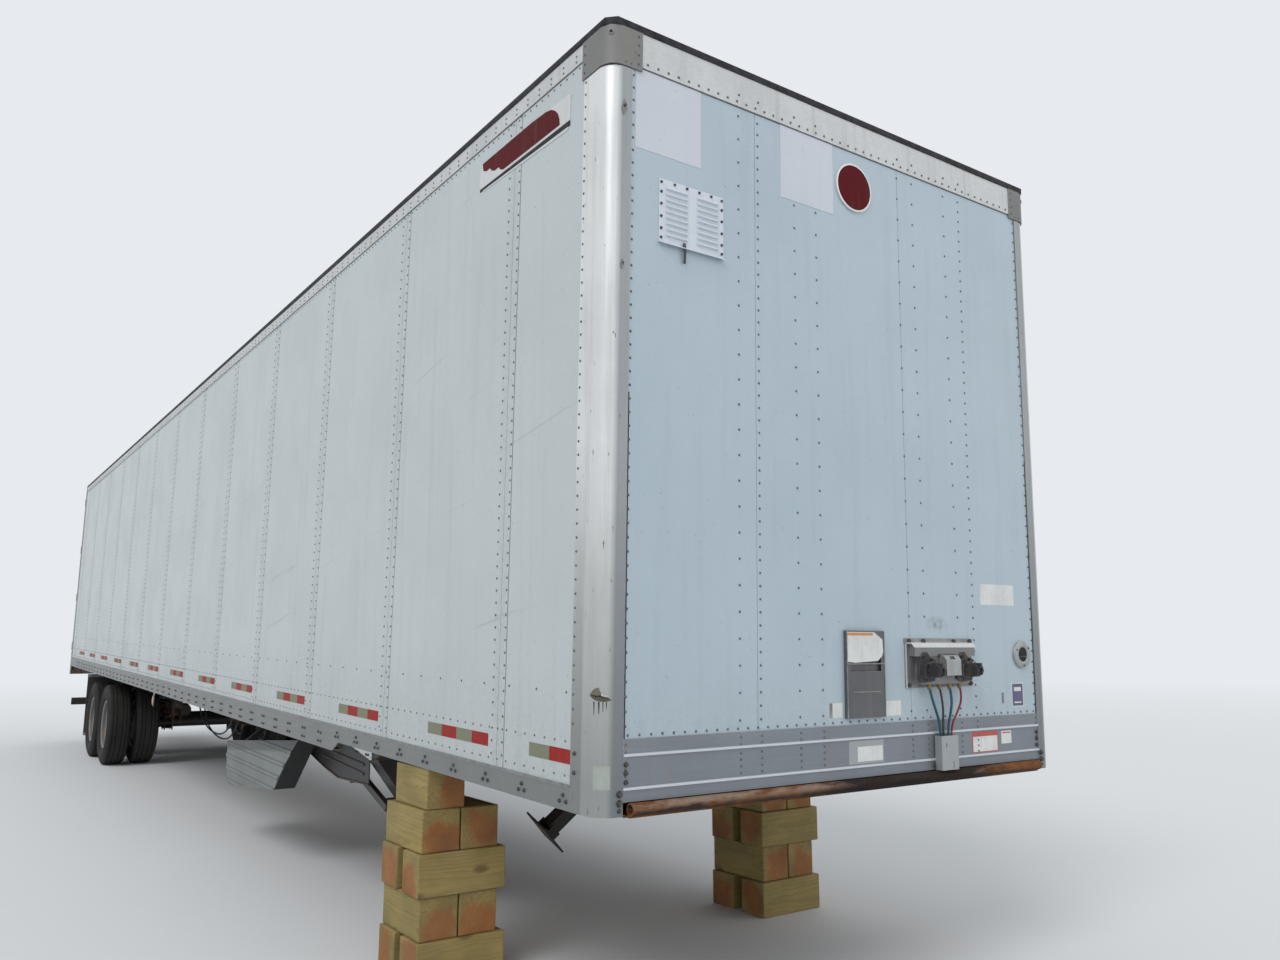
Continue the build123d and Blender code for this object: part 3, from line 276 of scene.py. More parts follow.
# pre-painted sheet: rain runs, seam dirt, a scuffed lining on its inner side
def sheetFinish(name, tint, seamed, lined, smudged=False, railShadowAt=0.0):
    finish, tree, surface = newFinish(name)
    place = placeGroup(tree, levelPlace)
    grime = placeGroup(tree, grimeGroup, scale=1.0, splash=1.15)
    waves = placeGroup(tree, waveGroup, size=1.0)
    base = mixOf(tree, times(tree, grime["Blotch"], 0.16), tint, shade(tint, 0.80, 0.82, 0.83))
    base = stain(tree, base, grime["Runs"], 0.12, paint["greyDirt"])
    if seamed:
        # dirt that gathers beside each riveted seam
        back = minus(tree, times(tree, place["Along"], -1.0), van["firstSeam"] - van["seamPitch"] / 2)
        turnOf = mathOf(tree, "FRACT", mathOf(tree, "DIVIDE", back, van["seamPitch"]))
        off = times(tree, sizeOf(tree, minus(tree, turnOf, 0.5)), van["seamPitch"])
        line = times(tree, spread(tree, off, 0.050, 0.030), spread(tree, grime["Fine"], 0.35, 0.75))
        base = stain(tree, base, line, 0.22, paint["greyDirt"])
        # the front lip of the lap, its thin shadow broken along the height
        lap = sizeOf(tree, minus(tree, times(tree, minus(tree, 0.5, turnOf), van["seamPitch"]), 0.0575))
        lip = times(tree, spread(tree, lap, 0.0042, 0.0020),
                    spread(tree, noiseOf(tree, place["Place"], 7.0, 3, 0.5, (1, 1, 0.8)), 0.24, 0.42, 0.25))
        base = stain(tree, base, lip, 0.85, (0.04, 0.042, 0.045))
        # long faint scrapes
        swung = put(tree, "ShaderNodeMapping",
                    {"Vector": place["Place"], "Rotation": (0, 0.16, 0)}).outputs[0]
        scrape = noiseOf(tree, swung, 9.0, 3, 0.5, (0.10, 1, 3.2))
        base = stain(tree, base, spread(tree, scrape, 0.70, 0.74), 0.22, paint["greyDirt"])
    lowDirt = times(tree, spread(tree, place["Up"], 0.55, 0.09), spread(tree, grime["Fine"], 0.25, 0.75))
    base = stain(tree, base, lowDirt, 0.30, paint["dirt"])
    base = stain(tree, base, grime["Specks"], 0.55, (0.16, 0.14, 0.12))
    if railShadowAt:
        # painted shadow: a dark line painted just below the top rail, as the shade under its lip
        base = stain(tree, base, spread(tree, place["Up"], railShadowAt - 0.0065, railShadowAt - 0.0045), 0.85,
                     (0.03, 0.032, 0.035))
    if smudged:
        # soot above the connection box
        off = [times(tree, minus(tree, place[way], middle), squeeze)
               for way, middle, squeeze in (("Across", 0.485, 1.0), ("Up", 0.668, 1.9))]
        away = mathOf(tree, "SQRT", plus(tree, times(tree, off[0], off[0]), times(tree, off[1], off[1])))
        soot = times(tree, spread(tree, away, 0.085, 0.0),
                     spread(tree, noiseOf(tree, place["Place"], 34.0, 4, 0.6), 0.35, 0.62))
        base = stain(tree, base, soot, 0.75, (0.10, 0.11, 0.12))
    if lined:
        # the inner side is a scuffed lining
        inner = spread(tree, sizeOf(tree, place["Across"]), van["skin"] - 0.012, van["skin"] - 0.016)
        scuff = noiseOf(tree, place["Place"], 5.0, 6, 0.7, (0.25, 1.0, 3.0))
        lining = mixOf(tree, times(tree, spread(tree, scuff, 0.48, 0.68), 0.6), paint["lining"],
                       (0.30, 0.28, 0.25))
        lining = stain(tree, lining, spread(tree, place["Up"], 0.75, 0.2), 0.45, (0.16, 0.14, 0.12))
        base = mixOf(tree, inner, base, lining)
    rough = spread(tree, plus(tree, grime["Fine"], grime["Blotch"]), 0.2, 1.6, 0.34, 0.62)
    wire(tree, surface, base, rough, waves["Waves"], 0.35, 0.012)
    surface.inputs["Coat Weight"].default_value = 0.12
    surface.inputs["Coat Roughness"].default_value = 0.25
    return finish


# painted shadow: each sheet given a rail height here gets a dark line painted just below it
sideSheet = sheetFinish("sideSheet", paint["side"], True, True, railShadowAt=van["topRail"])
noseSheet = sheetFinish("noseSheet", paint["nose"], False, False, True, railShadowAt=van["noseTop"])
doorSheet = sheetFinish("doorSheet", paint["door"], False, False)
linerBoard = sheetFinish("linerBoard", (0.47, 0.455, 0.405), False, False)
ventSheet = sheetFinish("ventSheet", paint["vent"], False, False)
patchSheet = sheetFinish("patchSheet", paint["patch"], False, False, railShadowAt=van["noseTop"])


# mill aluminium: drawn lines, dirt, pits and edges rubbed pale
def aluminiumFinish(name, tint, stretch, dirt, metal=0.55, roughLow=0.32, roughHigh=0.6, pits=0.0,
                    flangeShade=0.0, other=None, ridgeHighlight=False, wear=0.004):
    finish, tree, surface = newFinish(name, metal)
    place = placeGroup(tree, levelPlace)
    grime = placeGroup(tree, grimeGroup, scale=1.6, splash=0.95)
    lines = placeGroup(tree, drawnGroup, stretch=stretch, scale=5.0)
    worn = placeGroup(tree, edgeGroup, radius=wear)
    base = mixOf(tree, spread(tree, lines["Lines"], 0.3, 0.7), shade(tint, 0.94 if flangeShade else 0.86), tint)
    base = stain(tree, base, grime["Blotch"], 0.35, shade(tint, 0.62, 0.63, 0.64))
    base = stain(tree, base, grime["Runs"], dirt, paint["dirt"])
    if other:
        # another part of the node, told by its height, is paler
        start, stop, paler = other
        base = mixOf(tree, spread(tree, place["Up"], start, stop), base, paler)
    if ridgeHighlight:
        # painted highlight: the fronts of the ridges are painted bright
        base = mixOf(tree, spread(tree, place["Along"], -0.0014, 0.0008), base, (0.58, 0.61, 0.64))
    if flangeShade:
        # dirty foot; the flat flange beside the rolled part is painted darker, as shade
        foot = spread(tree, place["Up"], 1.30, 0.10)
        base = stain(tree, base, foot, 0.80, (0.195, 0.205, 0.195))
        base = stain(tree, base, foot, times(tree, spread(tree, place["Along"], -0.100, -0.112), 0.45),
                     (0.10, 0.11, 0.115))
        inward = sizeOf(tree, place["Across"])
        base = stain(tree, base, spread(tree, inward, 1.2530, 1.2310), flangeShade,
                     shade(tint, 0.17, 0.19, 0.21))
        # painted shadow: the post is painted black from just under the corner cap upward, as the shade under
        # the cap
        base = mixOf(tree, spread(tree, place["Up"], 2.7325, 2.7345), base, (0.03, 0.03, 0.032))
    if pits:
        pitted = noiseOf(tree, objectPlace(tree), 46.0, 3, 0.5, (1.0, 1.0, 0.32))
        base = stain(tree, base, spread(tree, pitted, 0.69, 0.74), pits, (0.10, 0.10, 0.10))
    base = stain(tree, base, worn["Edge"], 0.2 if ridgeHighlight else 0.6,
                 shade(tint, 1.5, lift=(0.15, 0.15, 0.15)))
    wire(tree, surface, base, spread(tree, lines["Lines"], 0.25, 0.75, roughLow, roughHigh),
         lines["Lines"], 0.12, 0.001)
    return finish


# painted shade: the bottom rail's tint is darker than its own grey
railMetal = aluminiumFinish("railMetal", (0.22, 0.228, 0.228), (0.8, 30.0, 30.0), 0.45, metal=0.30)
topRailMetal = aluminiumFinish("topRailMetal", (0.60, 0.61, 0.61), (1.0, 8.0, 25.0), 0.30, metal=0.10,
                               roughLow=0.4)
# painted highlight on the nose rail's ridges
noseRailMetal = aluminiumFinish("noseRailMetal", (0.225, 0.250, 0.278), (20.0, 0.6, 25.0), 0.35,
                                metal=0.45, ridgeHighlight=True)
# painted shade darkens the corner post's flat flange
postMetal = aluminiumFinish("postMetal", (0.74, 0.75, 0.745), (26.0, 26.0, 0.5), 0.22, metal=0.35,
                            roughLow=0.33, roughHigh=0.40, pits=0.8, flangeShade=0.72, wear=0.0012)
dentMetal = aluminiumFinish("dentMetal", (0.150, 0.135, 0.095), (5.0, 5.0, 5.0), 0.6, metal=0.35,
                            roughLow=0.5, roughHigh=0.8, pits=0.6, wear=0.0012)
castMetal = aluminiumFinish("castMetal", (0.225, 0.225, 0.215), (6.0, 6.0, 6.0), 0.6, metal=0.30,
                            roughLow=0.5, roughHigh=0.75, pits=0.6)
boxMetal = aluminiumFinish("boxMetal", (0.215, 0.215, 0.213), (5.0, 5.0, 5.0), 0.6, metal=0.35, pits=0.9,
                           other=(0.32, 0.28, (0.33, 0.35, 0.355)))
oldCasting = aluminiumFinish("oldCasting", (0.046, 0.044, 0.047), (5.0, 5.0, 5.0), 0.5, metal=0.30,
                             roughLow=0.5, roughHigh=0.8, pits=0.5)
fittingMetal = aluminiumFinish("fittingMetal", (0.120, 0.124, 0.130), (4.0, 4.0, 4.0), 0.4, metal=0.40,
                               roughLow=0.3, roughHigh=0.5, pits=0.3, other=(1.4, 1.6, (0.60, 0.62, 0.62)))
socketMetal = aluminiumFinish("socketMetal", (0.36, 0.38, 0.385), (6.0, 6.0, 6.0), 0.5, metal=0.35,
                              roughLow=0.35, roughHigh=0.6, pits=0.4)
rivetMetal = aluminiumFinish("rivetMetal", (0.105, 0.115, 0.125), (8.0, 8.0, 8.0), 0.4, metal=0.35)
boltMetal = aluminiumFinish("boltMetal", (0.055, 0.055, 0.055), (9.0, 9.0, 9.0), 0.5, metal=0.5)


def roofFinish():
    finish, tree, surface = newFinish("roofSheet", 0.25)
    place = placeGroup(tree, levelPlace)
    grime = placeGroup(tree, grimeGroup, scale=0.9, splash=0.1)
    side = spread(tree, sizeOf(tree, place["Across"]), van["half"] - 0.042, van["half"] - 0.034)
    front = spread(tree, plus(tree, place["Along"], times(tree, grime["Fine"], 0.006)), -0.040, -0.032)
    edgeTar = mathOf(tree, "MAXIMUM", side, front)
    base = mixOf(tree, times(tree, grime["Blotch"], 0.35), (0.50, 0.51, 0.52), (0.30, 0.30, 0.29))
    # each roof bow shows through as a rubbed line, with dirt washed along the sheet between them
    bows = mathOf(tree, "DIVIDE", plus(tree, place["Along"], van["firstBow"]), van["bowPitch"])
    turnOf = mathOf(tree, "FRACT", minus(tree, 0.5, bows))
    off = times(tree, sizeOf(tree, minus(tree, turnOf, 0.5)), van["bowPitch"])
    bow = times(tree, spread(tree, off, 0.034, 0.020), spread(tree, grime["Fine"], 0.25, 0.6, 0.35))
    wash = noiseOf(tree, place["Place"], 6.0, 5, 0.6, (0.12, 1.6, 1.0))
    base = stain(tree, base, spread(tree, wash, 0.46, 0.70), 0.35, (0.24, 0.235, 0.22))
    base = stain(tree, base, bow, 0.30, (0.22, 0.22, 0.215))
    base = stain(tree, base, grime["Specks"], 0.6, (0.12, 0.11, 0.10))
    tar = mixOf(tree, spread(tree, grime["Fine"], 0.35, 0.7), (0.012, 0.012, 0.014), (0.035, 0.036, 0.04))
    wire(tree, surface, mixOf(tree, edgeTar, base, tar), plus(tree, times(tree, edgeTar, 0.3), 0.42),
         grime["Fine"], 0.25, 0.002, minus(tree, 0.25, times(tree, edgeTar, 0.25)))
    surface.inputs["Specular IOR Level"].default_value = 0.25
    return finish


roofSheet = roofFinish()


def galvanisedFinish(name, tint, rusty):
    finish, tree, surface = newFinish(name, 0.45)
    grime = placeGroup(tree, grimeGroup, scale=1.4, splash=0.9)
    rust = placeGroup(tree, rustGroup, scale=1.0, amount=rusty)
    worn = placeGroup(tree, edgeGroup, radius=0.005)
    spangle = put(tree, "ShaderNodeSeparateColor",
                  {0: cellsOf(tree, objectPlace(tree), 85.0, "Color")}).outputs[0]
    base = mixOf(tree, spangle, shade(tint, 0.8, 0.8, 0.82), tint)
    base = stain(tree, base, grime["Blotch"], 0.45, (0.16, 0.15, 0.14))
    base = stain(tree, base, grime["Runs"], 0.4, paint["dirt"])
    rustAt = mathOf(tree, "MAXIMUM", times(tree, worn["Edge"], 0.6), rust["Rust"])
    wire(tree, surface, mixOf(tree, rustAt, base, rust["Colour"]),
         spread(tree, rustAt, 0.0, 1.0, 0.46, 0.85), rust["Crust"], 0.15, 0.002)
    return finish


galvanised = galvanisedFinish("galvanised", (0.38, 0.39, 0.40), 0.36)
frameSteel = galvanisedFinish("frameSteel", (0.30, 0.31, 0.32), 0.42)


# chassis paint: dust on what faces up, rust at edges and in patches, splash low down
def chassisFinish(name, tint, rusty, dusty, top=0.9):
    finish, tree, surface = newFinish(name)
    grime = placeGroup(tree, grimeGroup, scale=1.5, splash=top)
    rust = placeGroup(tree, rustGroup, scale=1.2, amount=rusty)
    worn = placeGroup(tree, edgeGroup, radius=0.006, patch=24.0)
    facing = facingOf(tree)[2]
    dustAt = times(tree, spread(tree, facing, -0.2, 0.9), spread(tree, grime["Fine"], 0.2, 0.75))
    base = mixOf(tree, times(tree, grime["Blotch"], 0.6), tint,
                 shade(tint, 1.9, 1.8, 1.7, (0.01, 0.01, 0.01)))
    if rusty:
        rustAt = mathOf(tree, "MAXIMUM", worn["Edge"], rust["Rust"])
        base = mixOf(tree, rustAt, base, rust["Colour"])
    else:
        # rubber only scuffs paler at its edges
        rustAt = times(tree, worn["Edge"], 0.4)
        base = mixOf(tree, rustAt, base, (0.09, 0.088, 0.085))
    dirtAt = times(tree, mathOf(tree, "MAXIMUM", dustAt, grime["Splash"]), dusty)
    base = mixOf(tree, dirtAt, base, (0.20, 0.175, 0.145))
    wire(tree, surface, base, spread(tree, plus(tree, rustAt, dirtAt), 0.0, 1.2, 0.42, 0.9),
         plus(tree, rust["Crust"], times(tree, rustAt, 0.4)), 0.3, 0.002)
    return finish


blackSteel = chassisFinish("blackSteel", (0.013, 0.013, 0.014), 0.385, 0.26)
gearSteel = chassisFinish("gearSteel", (0.022, 0.023, 0.024), 0.36, 0.22)
springSteel = chassisFinish("springSteel", (0.022, 0.019, 0.018), 0.50, 0.35)


# bare rusted steel: orange on faces that turn up, nearly black as painted shade on faces that turn down,
# flaking in long patches
def rustedFinish(name):
    finish, tree, surface = newFinish(name)
    place = placeGroup(tree, levelPlace)
    rust = placeGroup(tree, rustGroup, scale=1.6, amount=0.75)
    facing = facingOf(tree)[2]
    long = noiseOf(tree, place["Place"], 7.0, 6, 0.65, (2.0, 0.55, 2.0))
    flake = noiseOf(tree, place["Place"], 28.0, 6, 0.7, (1.5, 0.7, 1.5))
    base = mixOf(tree, spread(tree, flake, 0.35, 0.68), (0.095, 0.037, 0.014), (0.28, 0.105, 0.032))
    base = stain(tree, base, spread(tree, long, 0.50, 0.62), 0.7, (0.30, 0.24, 0.19))
    # dark patches, more of them as painted shade on faces that turn down
    base = mixOf(tree, spread(tree, plus(tree, long, times(tree, facing, -0.30)), 0.52, 0.72), base,
                 (0.035, 0.022, 0.016))
    base = stain(tree, base, rust["Crust"], 0.35, (0.07, 0.032, 0.018))
    # painted shade: the middle of the plate is painted near black
    middle = plus(tree, sizeOf(tree, minus(tree, place["Across"], 0.25)), times(tree, long, 0.8))
    base = stain(tree, base, spread(tree, middle, 1.04, 0.80), 0.92, (0.010, 0.008, 0.007))
    wire(tree, surface, base, spread(tree, flake, 0.2, 0.8, 0.65, 0.9), plus(tree, flake, rust["Crust"]),
         0.4, 0.003)
    surface.inputs["Specular IOR Level"].default_value = 0.2
    return finish


rustySteel = rustedFinish("rustySteel")
blackRubber = chassisFinish("blackRubber", (0.018, 0.018, 0.019), 0.0, 0.4)
flapRubber = chassisFinish("flapRubber", (0.020, 0.020, 0.021), 0.0, 0.75, 1.0)


def floorFinish():
    finish, tree, surface = newFinish("floorBoards")
    place = placeGroup(tree, levelPlace)
    grime = placeGroup(tree, grimeGroup, scale=2.0, splash=0.1)
    strip = mathOf(tree, "DIVIDE", place["Across"], 0.032)
    board = mathOf(tree, "FLOOR", strip)
    # boards lie end to end, their ends staggered from strip to strip
    lengths = plus(tree, times(tree, board, 0.37), mathOf(tree, "DIVIDE", place["Along"], 0.9))
    draw = plus(tree, board, mathOf(tree, "FLOOR", lengths))
    hue = put(tree, "ShaderNodeTexWhiteNoise", {"W": draw}, noise_dimensions="1D").outputs["Value"]
    grain = noiseOf(tree, place["Place"], 22.0, 6, 0.6, (0.10, 2.2, 1.0))
    base = mixOf(tree, hue, (0.30, 0.185, 0.095), (0.46, 0.31, 0.18))
    base = mixOf(tree, spread(tree, grain, 0.35, 0.75), base, (0.17, 0.10, 0.055))
    plank = mathOf(tree, "FRACT", mathOf(tree, "DIVIDE", place["Across"], 0.305))
    joint = spread(tree, sizeOf(tree, minus(tree, plank, 0.5)), 0.492, 0.497)
    base = mixOf(tree, joint, base, (0.03, 0.025, 0.02))
    base = stain(tree, base, grime["Blotch"], 0.55, (0.12, 0.10, 0.085))
    rough = spread(tree, grain, 0.2, 0.8, 0.5, 0.8)
    wire(tree, surface, base, rough, minus(tree, grain, joint), 0.3, 0.002)
    return finish


floorBoards = floorFinish()


def rimFinish():
    finish, tree, surface = newFinish("rimPaint")
    grime = placeGroup(tree, grimeGroup, scale=3.0, splash=1.0)
    rust = placeGroup(tree, rustGroup, scale=2.6, amount=0.44)
    worn = placeGroup(tree, edgeGroup, radius=0.005, patch=60.0)
    base = mixOf(tree, times(tree, grime["Blotch"], 0.6), (0.215, 0.215, 0.210), (0.105, 0.104, 0.100))
    base = stain(tree, base, grime["Fine"], 0.4, (0.10, 0.095, 0.088))
    rustAt = times(tree, mathOf(tree, "MAXIMUM", worn["Edge"], rust["Rust"]), 0.55)
    base = mixOf(tree, rustAt, base, rust["Colour"])
    wire(tree, surface, base, spread(tree, rustAt, 0.0, 1.0, 0.45, 0.85), rust["Crust"], 0.25, 0.0015)
    return finish


rimPaint = rimFinish()


# worn rubber: faint grey blotches, and dust that thickens towards the tread
def tyreFinish():
    finish, tree, surface = newFinish("tyreRubber")
    grime = placeGroup(tree, grimeGroup, scale=2.2, splash=0.75)
    # 0 at the bead, 1 on the tread
    band = put(tree, "ShaderNodeAttribute", attribute_name="reach").outputs["Fac"]
    fineCracks = cellsOf(tree, objectPlace(tree), 120.0, feature="DISTANCE_TO_EDGE")
    base = mixOf(tree, times(tree, grime["Blotch"], 0.7), (0.012, 0.012, 0.012), (0.030, 0.028, 0.026))
    dust = times(tree, spread(tree, band, 0.55, 1.0, 0.04, 0.30), spread(tree, grime["Fine"], 0.3, 0.8))
    base = mixOf(tree, mathOf(tree, "MAXIMUM", dust, times(tree, grime["Splash"], 0.28)), base,
                 (0.095, 0.086, 0.076))
    height = plus(tree, grime["Fine"], times(tree, spread(tree, fineCracks, 0.0, 0.08), 0.5))
    wire(tree, surface, base, spread(tree, grime["Fine"], 0.2, 0.8, 0.7, 0.92), height, 0.25, 0.001)
    surface.inputs["Specular IOR Level"].default_value = 0.25
    return finish


tyreRubber = tyreFinish()


# moulded or painted small parts
def plainFinish(name, tint, rough=0.5, dirt=0.3, metal=0.0, scale=2.0, gloss=0.5):
    finish, tree, surface = newFinish(name, metal)
    grime = placeGroup(tree, grimeGroup, scale=scale, splash=0.7)
    base = mixOf(tree, times(tree, grime["Blotch"], dirt), tint,
                 shade(tint, 0.45, lift=(0.03, 0.03, 0.025)))
    base = stain(tree, base, grime["Runs"], dirt * 0.7, paint["dirt"])
    wire(tree, surface, base, spread(tree, grime["Fine"], 0.2, 0.8, rough - 0.08, rough + 0.12),
         grime["Fine"], 0.12, 0.0008)
    surface.inputs["Specular IOR Level"].default_value = gloss
    return finish


# skirt: white plastic painted down to grey for dirt and for the shade under the trailer, a dark band along
# its sloped top, its front face painted black as shade inside a pale rim
def skirtFinish():
    finish, tree, surface = newFinish("skirtPlastic")
    place = placeGroup(tree, levelPlace)
    grime = placeGroup(tree, grimeGroup, scale=1.4, splash=0.8)
    # the white is painted down to a grey, as dirt and as shade under the trailer
    base = mixOf(tree, times(tree, grime["Blotch"], 0.5), (0.200, 0.215, 0.210), (0.115, 0.122, 0.120))
    base = stain(tree, base, grime["Runs"], 0.35, (0.10, 0.10, 0.09))
    # how far below the sloped top edge
    under = minus(tree, minus(tree, times(tree, place["Along"], 0.0919), place["Up"]), -0.2438)
    band = spread(tree, plus(tree, under, times(tree, grime["Fine"], 0.02)), 0.090, 0.070)
    base = stain(tree, base, band, 0.50, (0.030, 0.033, 0.035))
    # painted shade: faces of the ribs that turn up or down are darker, as shade in the grooves
    facing = facingOf(tree)
    base = stain(tree, base, spread(tree, sizeOf(tree, facing[2]), 0.25, 0.6), 0.5, (0.05, 0.05, 0.048))
    # painted shade: the faces that look forward inside the pale rim are painted black
    frontShade = times(tree, spread(tree, facing[0], 0.3, 0.5), spread(tree, place["Across"], -1.168, -1.160))
    base = mixOf(tree, frontShade, base, (0.010, 0.010, 0.011))
    # painted shade: faces that turn left, in under the trailer, are darkened
    base = stain(tree, base, spread(tree, facing[1], 0.3, 0.6), 0.8, (0.02, 0.02, 0.02))
    wire(tree, surface, base, spread(tree, grime["Fine"], 0.2, 0.8, 0.5, 0.7), grime["Fine"], 0.12, 0.0008)
    return finish


skirtPlastic = skirtFinish()
labelPaper = plainFinish("labelPaper", (0.66, 0.67, 0.66), 0.55, 0.35, scale=6.0)
oldPaper = plainFinish("oldPaper", (0.36, 0.395, 0.36), 0.6, 0.5, scale=6.0)
labelOrange = plainFinish("labelOrange", (0.62, 0.24, 0.05), 0.5, 0.3, scale=6.0)
labelRed = plainFinish("labelRed", (0.48, 0.07, 0.06), 0.5, 0.3, scale=6.0)
labelPurple = plainFinish("labelPurple", (0.095, 0.090, 0.175), 0.5, 0.4, scale=6.0)
maroonPaint = plainFinish("maroonPaint", (0.095, 0.005, 0.008), 0.45, 0.22, gloss=0.06)
badgeRim = plainFinish("badgeRim", (0.66, 0.66, 0.66), 0.35, 0.2, metal=0.4)
boxPale = plainFinish("boxPale", (0.30, 0.285, 0.275), 0.5, 0.9, metal=0.25, scale=9.0)
brassNut = plainFinish("brassNut", (0.24, 0.16, 0.06), 0.4, 0.6, metal=0.6, scale=9.0)
hoseBlue = plainFinish("hoseBlue", (0.012, 0.085, 0.130), 0.45, 0.4, scale=5.0, gloss=0.3)
hoseBlack = plainFinish("hoseBlack", (0.018, 0.019, 0.021), 0.5, 0.4, scale=5.0)
hoseRed = plainFinish("hoseRed", (0.22, 0.02, 0.03), 0.45, 0.4, scale=5.0, gloss=0.3)
# black for real gaps and holes, also used for painted shadow strips
gapAndShadowBlack = plainFinish("gapAndShadowBlack", (0.012, 0.012, 0.012), 0.8, 0.2)


def lensFinish(name, tint):
    finish, tree, surface = newFinish(name)
    grime = placeGroup(tree, grimeGroup, scale=4.0, splash=0.7)
    cells = cellsOf(tree, objectPlace(tree), 150.0, distance="CHEBYCHEV")
    base = mixOf(tree, spread(tree, cells, 0.1, 0.6), tint, shade(tint, 0.45, 0.3, 0.3))
    base = stain(tree, base, grime["Blotch"], 0.15, paint["dirt"])
    wire(tree, surface, base, spread(tree, grime["Fine"], 0.2, 0.8, 0.18, 0.35), cells, 0.4, 0.001)
    surface.inputs["Coat Weight"].default_value = 0.35
    surface.inputs["Coat Roughness"].default_value = 0.08
    return finish


redLens = lensFinish("redLens", (0.36, 0.006, 0.006))
amberLens = lensFinish("amberLens", (0.58, 0.13, 0.005))


def tapeFinish(name, tint, faded):
    finish, tree, surface = newFinish(name)
    grime = placeGroup(tree, grimeGroup, scale=5.0, splash=0.7)
    cells = cellsOf(tree, objectPlace(tree), 230.0, feature="DISTANCE_TO_EDGE")
    base = mixOf(tree, spread(tree, cells, 0.04, 0.0), tint, shade(tint, 0.7))
    base = stain(tree, base, grime["Blotch"], faded, (0.20, 0.185, 0.15))
    wire(tree, surface, base, spread(tree, grime["Fine"], 0.2, 0.8, 0.45, 0.62), cells, 0.1, 0.0005)
    surface.inputs["Specular IOR Level"].default_value = 0.2
    return finish


tapeRed = tapeFinish("tapeRed", (0.31, 0.010, 0.007), 0.10)
tapePale = tapeFinish("tapePale", (0.21, 0.215, 0.140), 0.25)
rustyBolt = chassisFinish("rustyBolt", (0.06, 0.045, 0.038), 0.60, 0.35, 1.2)


# treated softwood: olive faces, orange heart on the ends, rings, knots, saw marks
def timberFinish():
    finish, tree, surface = newFinish("treatedTimber")
    place = put(tree, "ShaderNodeAttribute", attribute_name="grain").outputs["Vector"]
    grime = placeGroup(tree, grimeGroup, scale=3.0, splash=0.28)
    parts = put(tree, "ShaderNodeSeparateXYZ", {0: place}).outputs
    warp = noiseOf(tree, place, 5.0, 4, 0.6, (0.35, 1.0, 1.0))
    fromHeart = mathOf(tree, "SQRT",
                       plus(tree, times(tree, parts[1], parts[1]), times(tree, parts[2], parts[2])))
    bulge = noiseOf(tree, place, 9.0, 2, 0.5, (0.5, 1.0, 1.0))
    rings = plus(tree, times(tree, fromHeart, 210.0), times(tree, warp, 9.0))
    ring = mathOf(tree, "POWER", mathOf(tree, "FRACT", mathOf(tree, "DIVIDE", rings, 2.2)), 2.4)
    fibre = noiseOf(tree, place, 60.0, 5, 0.6, (0.03, 1.0, 1.0))
    patch = noiseOf(tree, place, 7.0, 3, 0.5, (0.6, 1.0, 1.0))
    wood = mixOf(tree, spread(tree, patch, 0.35, 0.7), (0.345, 0.255, 0.082), (0.220, 0.175, 0.050))
    wood = stain(tree, wood, ring, 0.55, (0.185, 0.125, 0.040))
    wood = stain(tree, wood, spread(tree, fibre, 0.45, 0.75), 0.35, (0.20, 0.155, 0.06))
    # ends: where the surface looks along the timber the heart shows orange brown
    facing = facingOf(tree)
    lies = put(tree, "ShaderNodeAttribute", attribute_name="lies").outputs["Fac"]
    looks = put(tree, "ShaderNodeMix",
                {0: lies, 2: sizeOf(tree, facing[0]), 3: sizeOf(tree, facing[1])}).outputs[0]
    cut = spread(tree, looks, 0.5, 0.8)
    heartAt = times(tree, cut, spread(tree, plus(tree, fromHeart, times(tree, bulge, 0.16)), 0.195, 0.150))
    wood = stain(tree, wood, heartAt, 0.88,
                 mixOf(tree, spread(tree, patch, 0.3, 0.7), (0.36, 0.125, 0.022), (0.22, 0.062, 0.014)))
    wood = stain(tree, wood, cut, spread(tree, grime["Fine"], 0.45, 0.75), (0.19, 0.11, 0.04))
    # knots: sparse dark eyes on the long faces
    apart = put(tree, "ShaderNodeMapping", {"Vector": place, "Scale": (3.4, 7.5, 7.5)}).outputs[0]
    knot = times(tree, spread(tree, cellsOf(tree, apart, 1.0), 0.17, 0.08), minus(tree, 1.0, cut))
    wood = stain(tree, wood, knot, 0.8, (0.13, 0.062, 0.022))
    wood = stain(tree, wood, grime["Blotch"], 0.25, (0.16, 0.13, 0.08))
    wood = stain(tree, wood, grime["Splash"], 0.4, paint["dirt"])
    height = plus(tree, times(tree, fibre, 0.6), times(tree, ring, 0.35))
    wire(tree, surface, wood, spread(tree, fibre, 0.3, 0.7, 0.62, 0.85), height, 0.45, 0.0016)
    return finish


treatedTimber = timberFinish()
print("finishes made:", len(bpy.data.materials))

# CAD nodes get their finishes
nodeFinishes = {"bottom_rails": railMetal, "side_panels_left": sideSheet, "side_panels_right": sideSheet,
                "nose_wall": noseSheet, "corner_posts": postMetal, "corner_caps": castMetal,
                "top_rails": topRailMetal, "roof": roofSheet, "roof_bows": galvanised,
                "floor": floorBoards, "cross_beams": blackSteel, "coupler_plate": rustySteel,
                "kingpin": springSteel, "nose_rail": noseRailMetal, "nose_vent": ventSheet,
                "connection_box": boxMetal, "couplings": oldCasting, "nose_fittings": fittingMetal,
                "rear_frame": frameSteel, "rear_guard": blackSteel, "door_left": doorSheet,
                "door_right": doorSheet, "door_gear_left": galvanised, "door_gear_right": galvanised,
                "slide_rails": blackSteel, "bogie_frame": blackSteel, "spring_hangers": blackSteel,
                "leaf_springs": springSteel, "axles": blackSteel, "brakes": blackSteel,
                "landing_gear": gearSteel, "skirt_panel": skirtPlastic, "mud_flaps": flapRubber}
for row in ("front", "rear"):
    for side in ("left", "right"):
        nodeFinishes[f"wheels_{row}_{side}"] = rimPaint
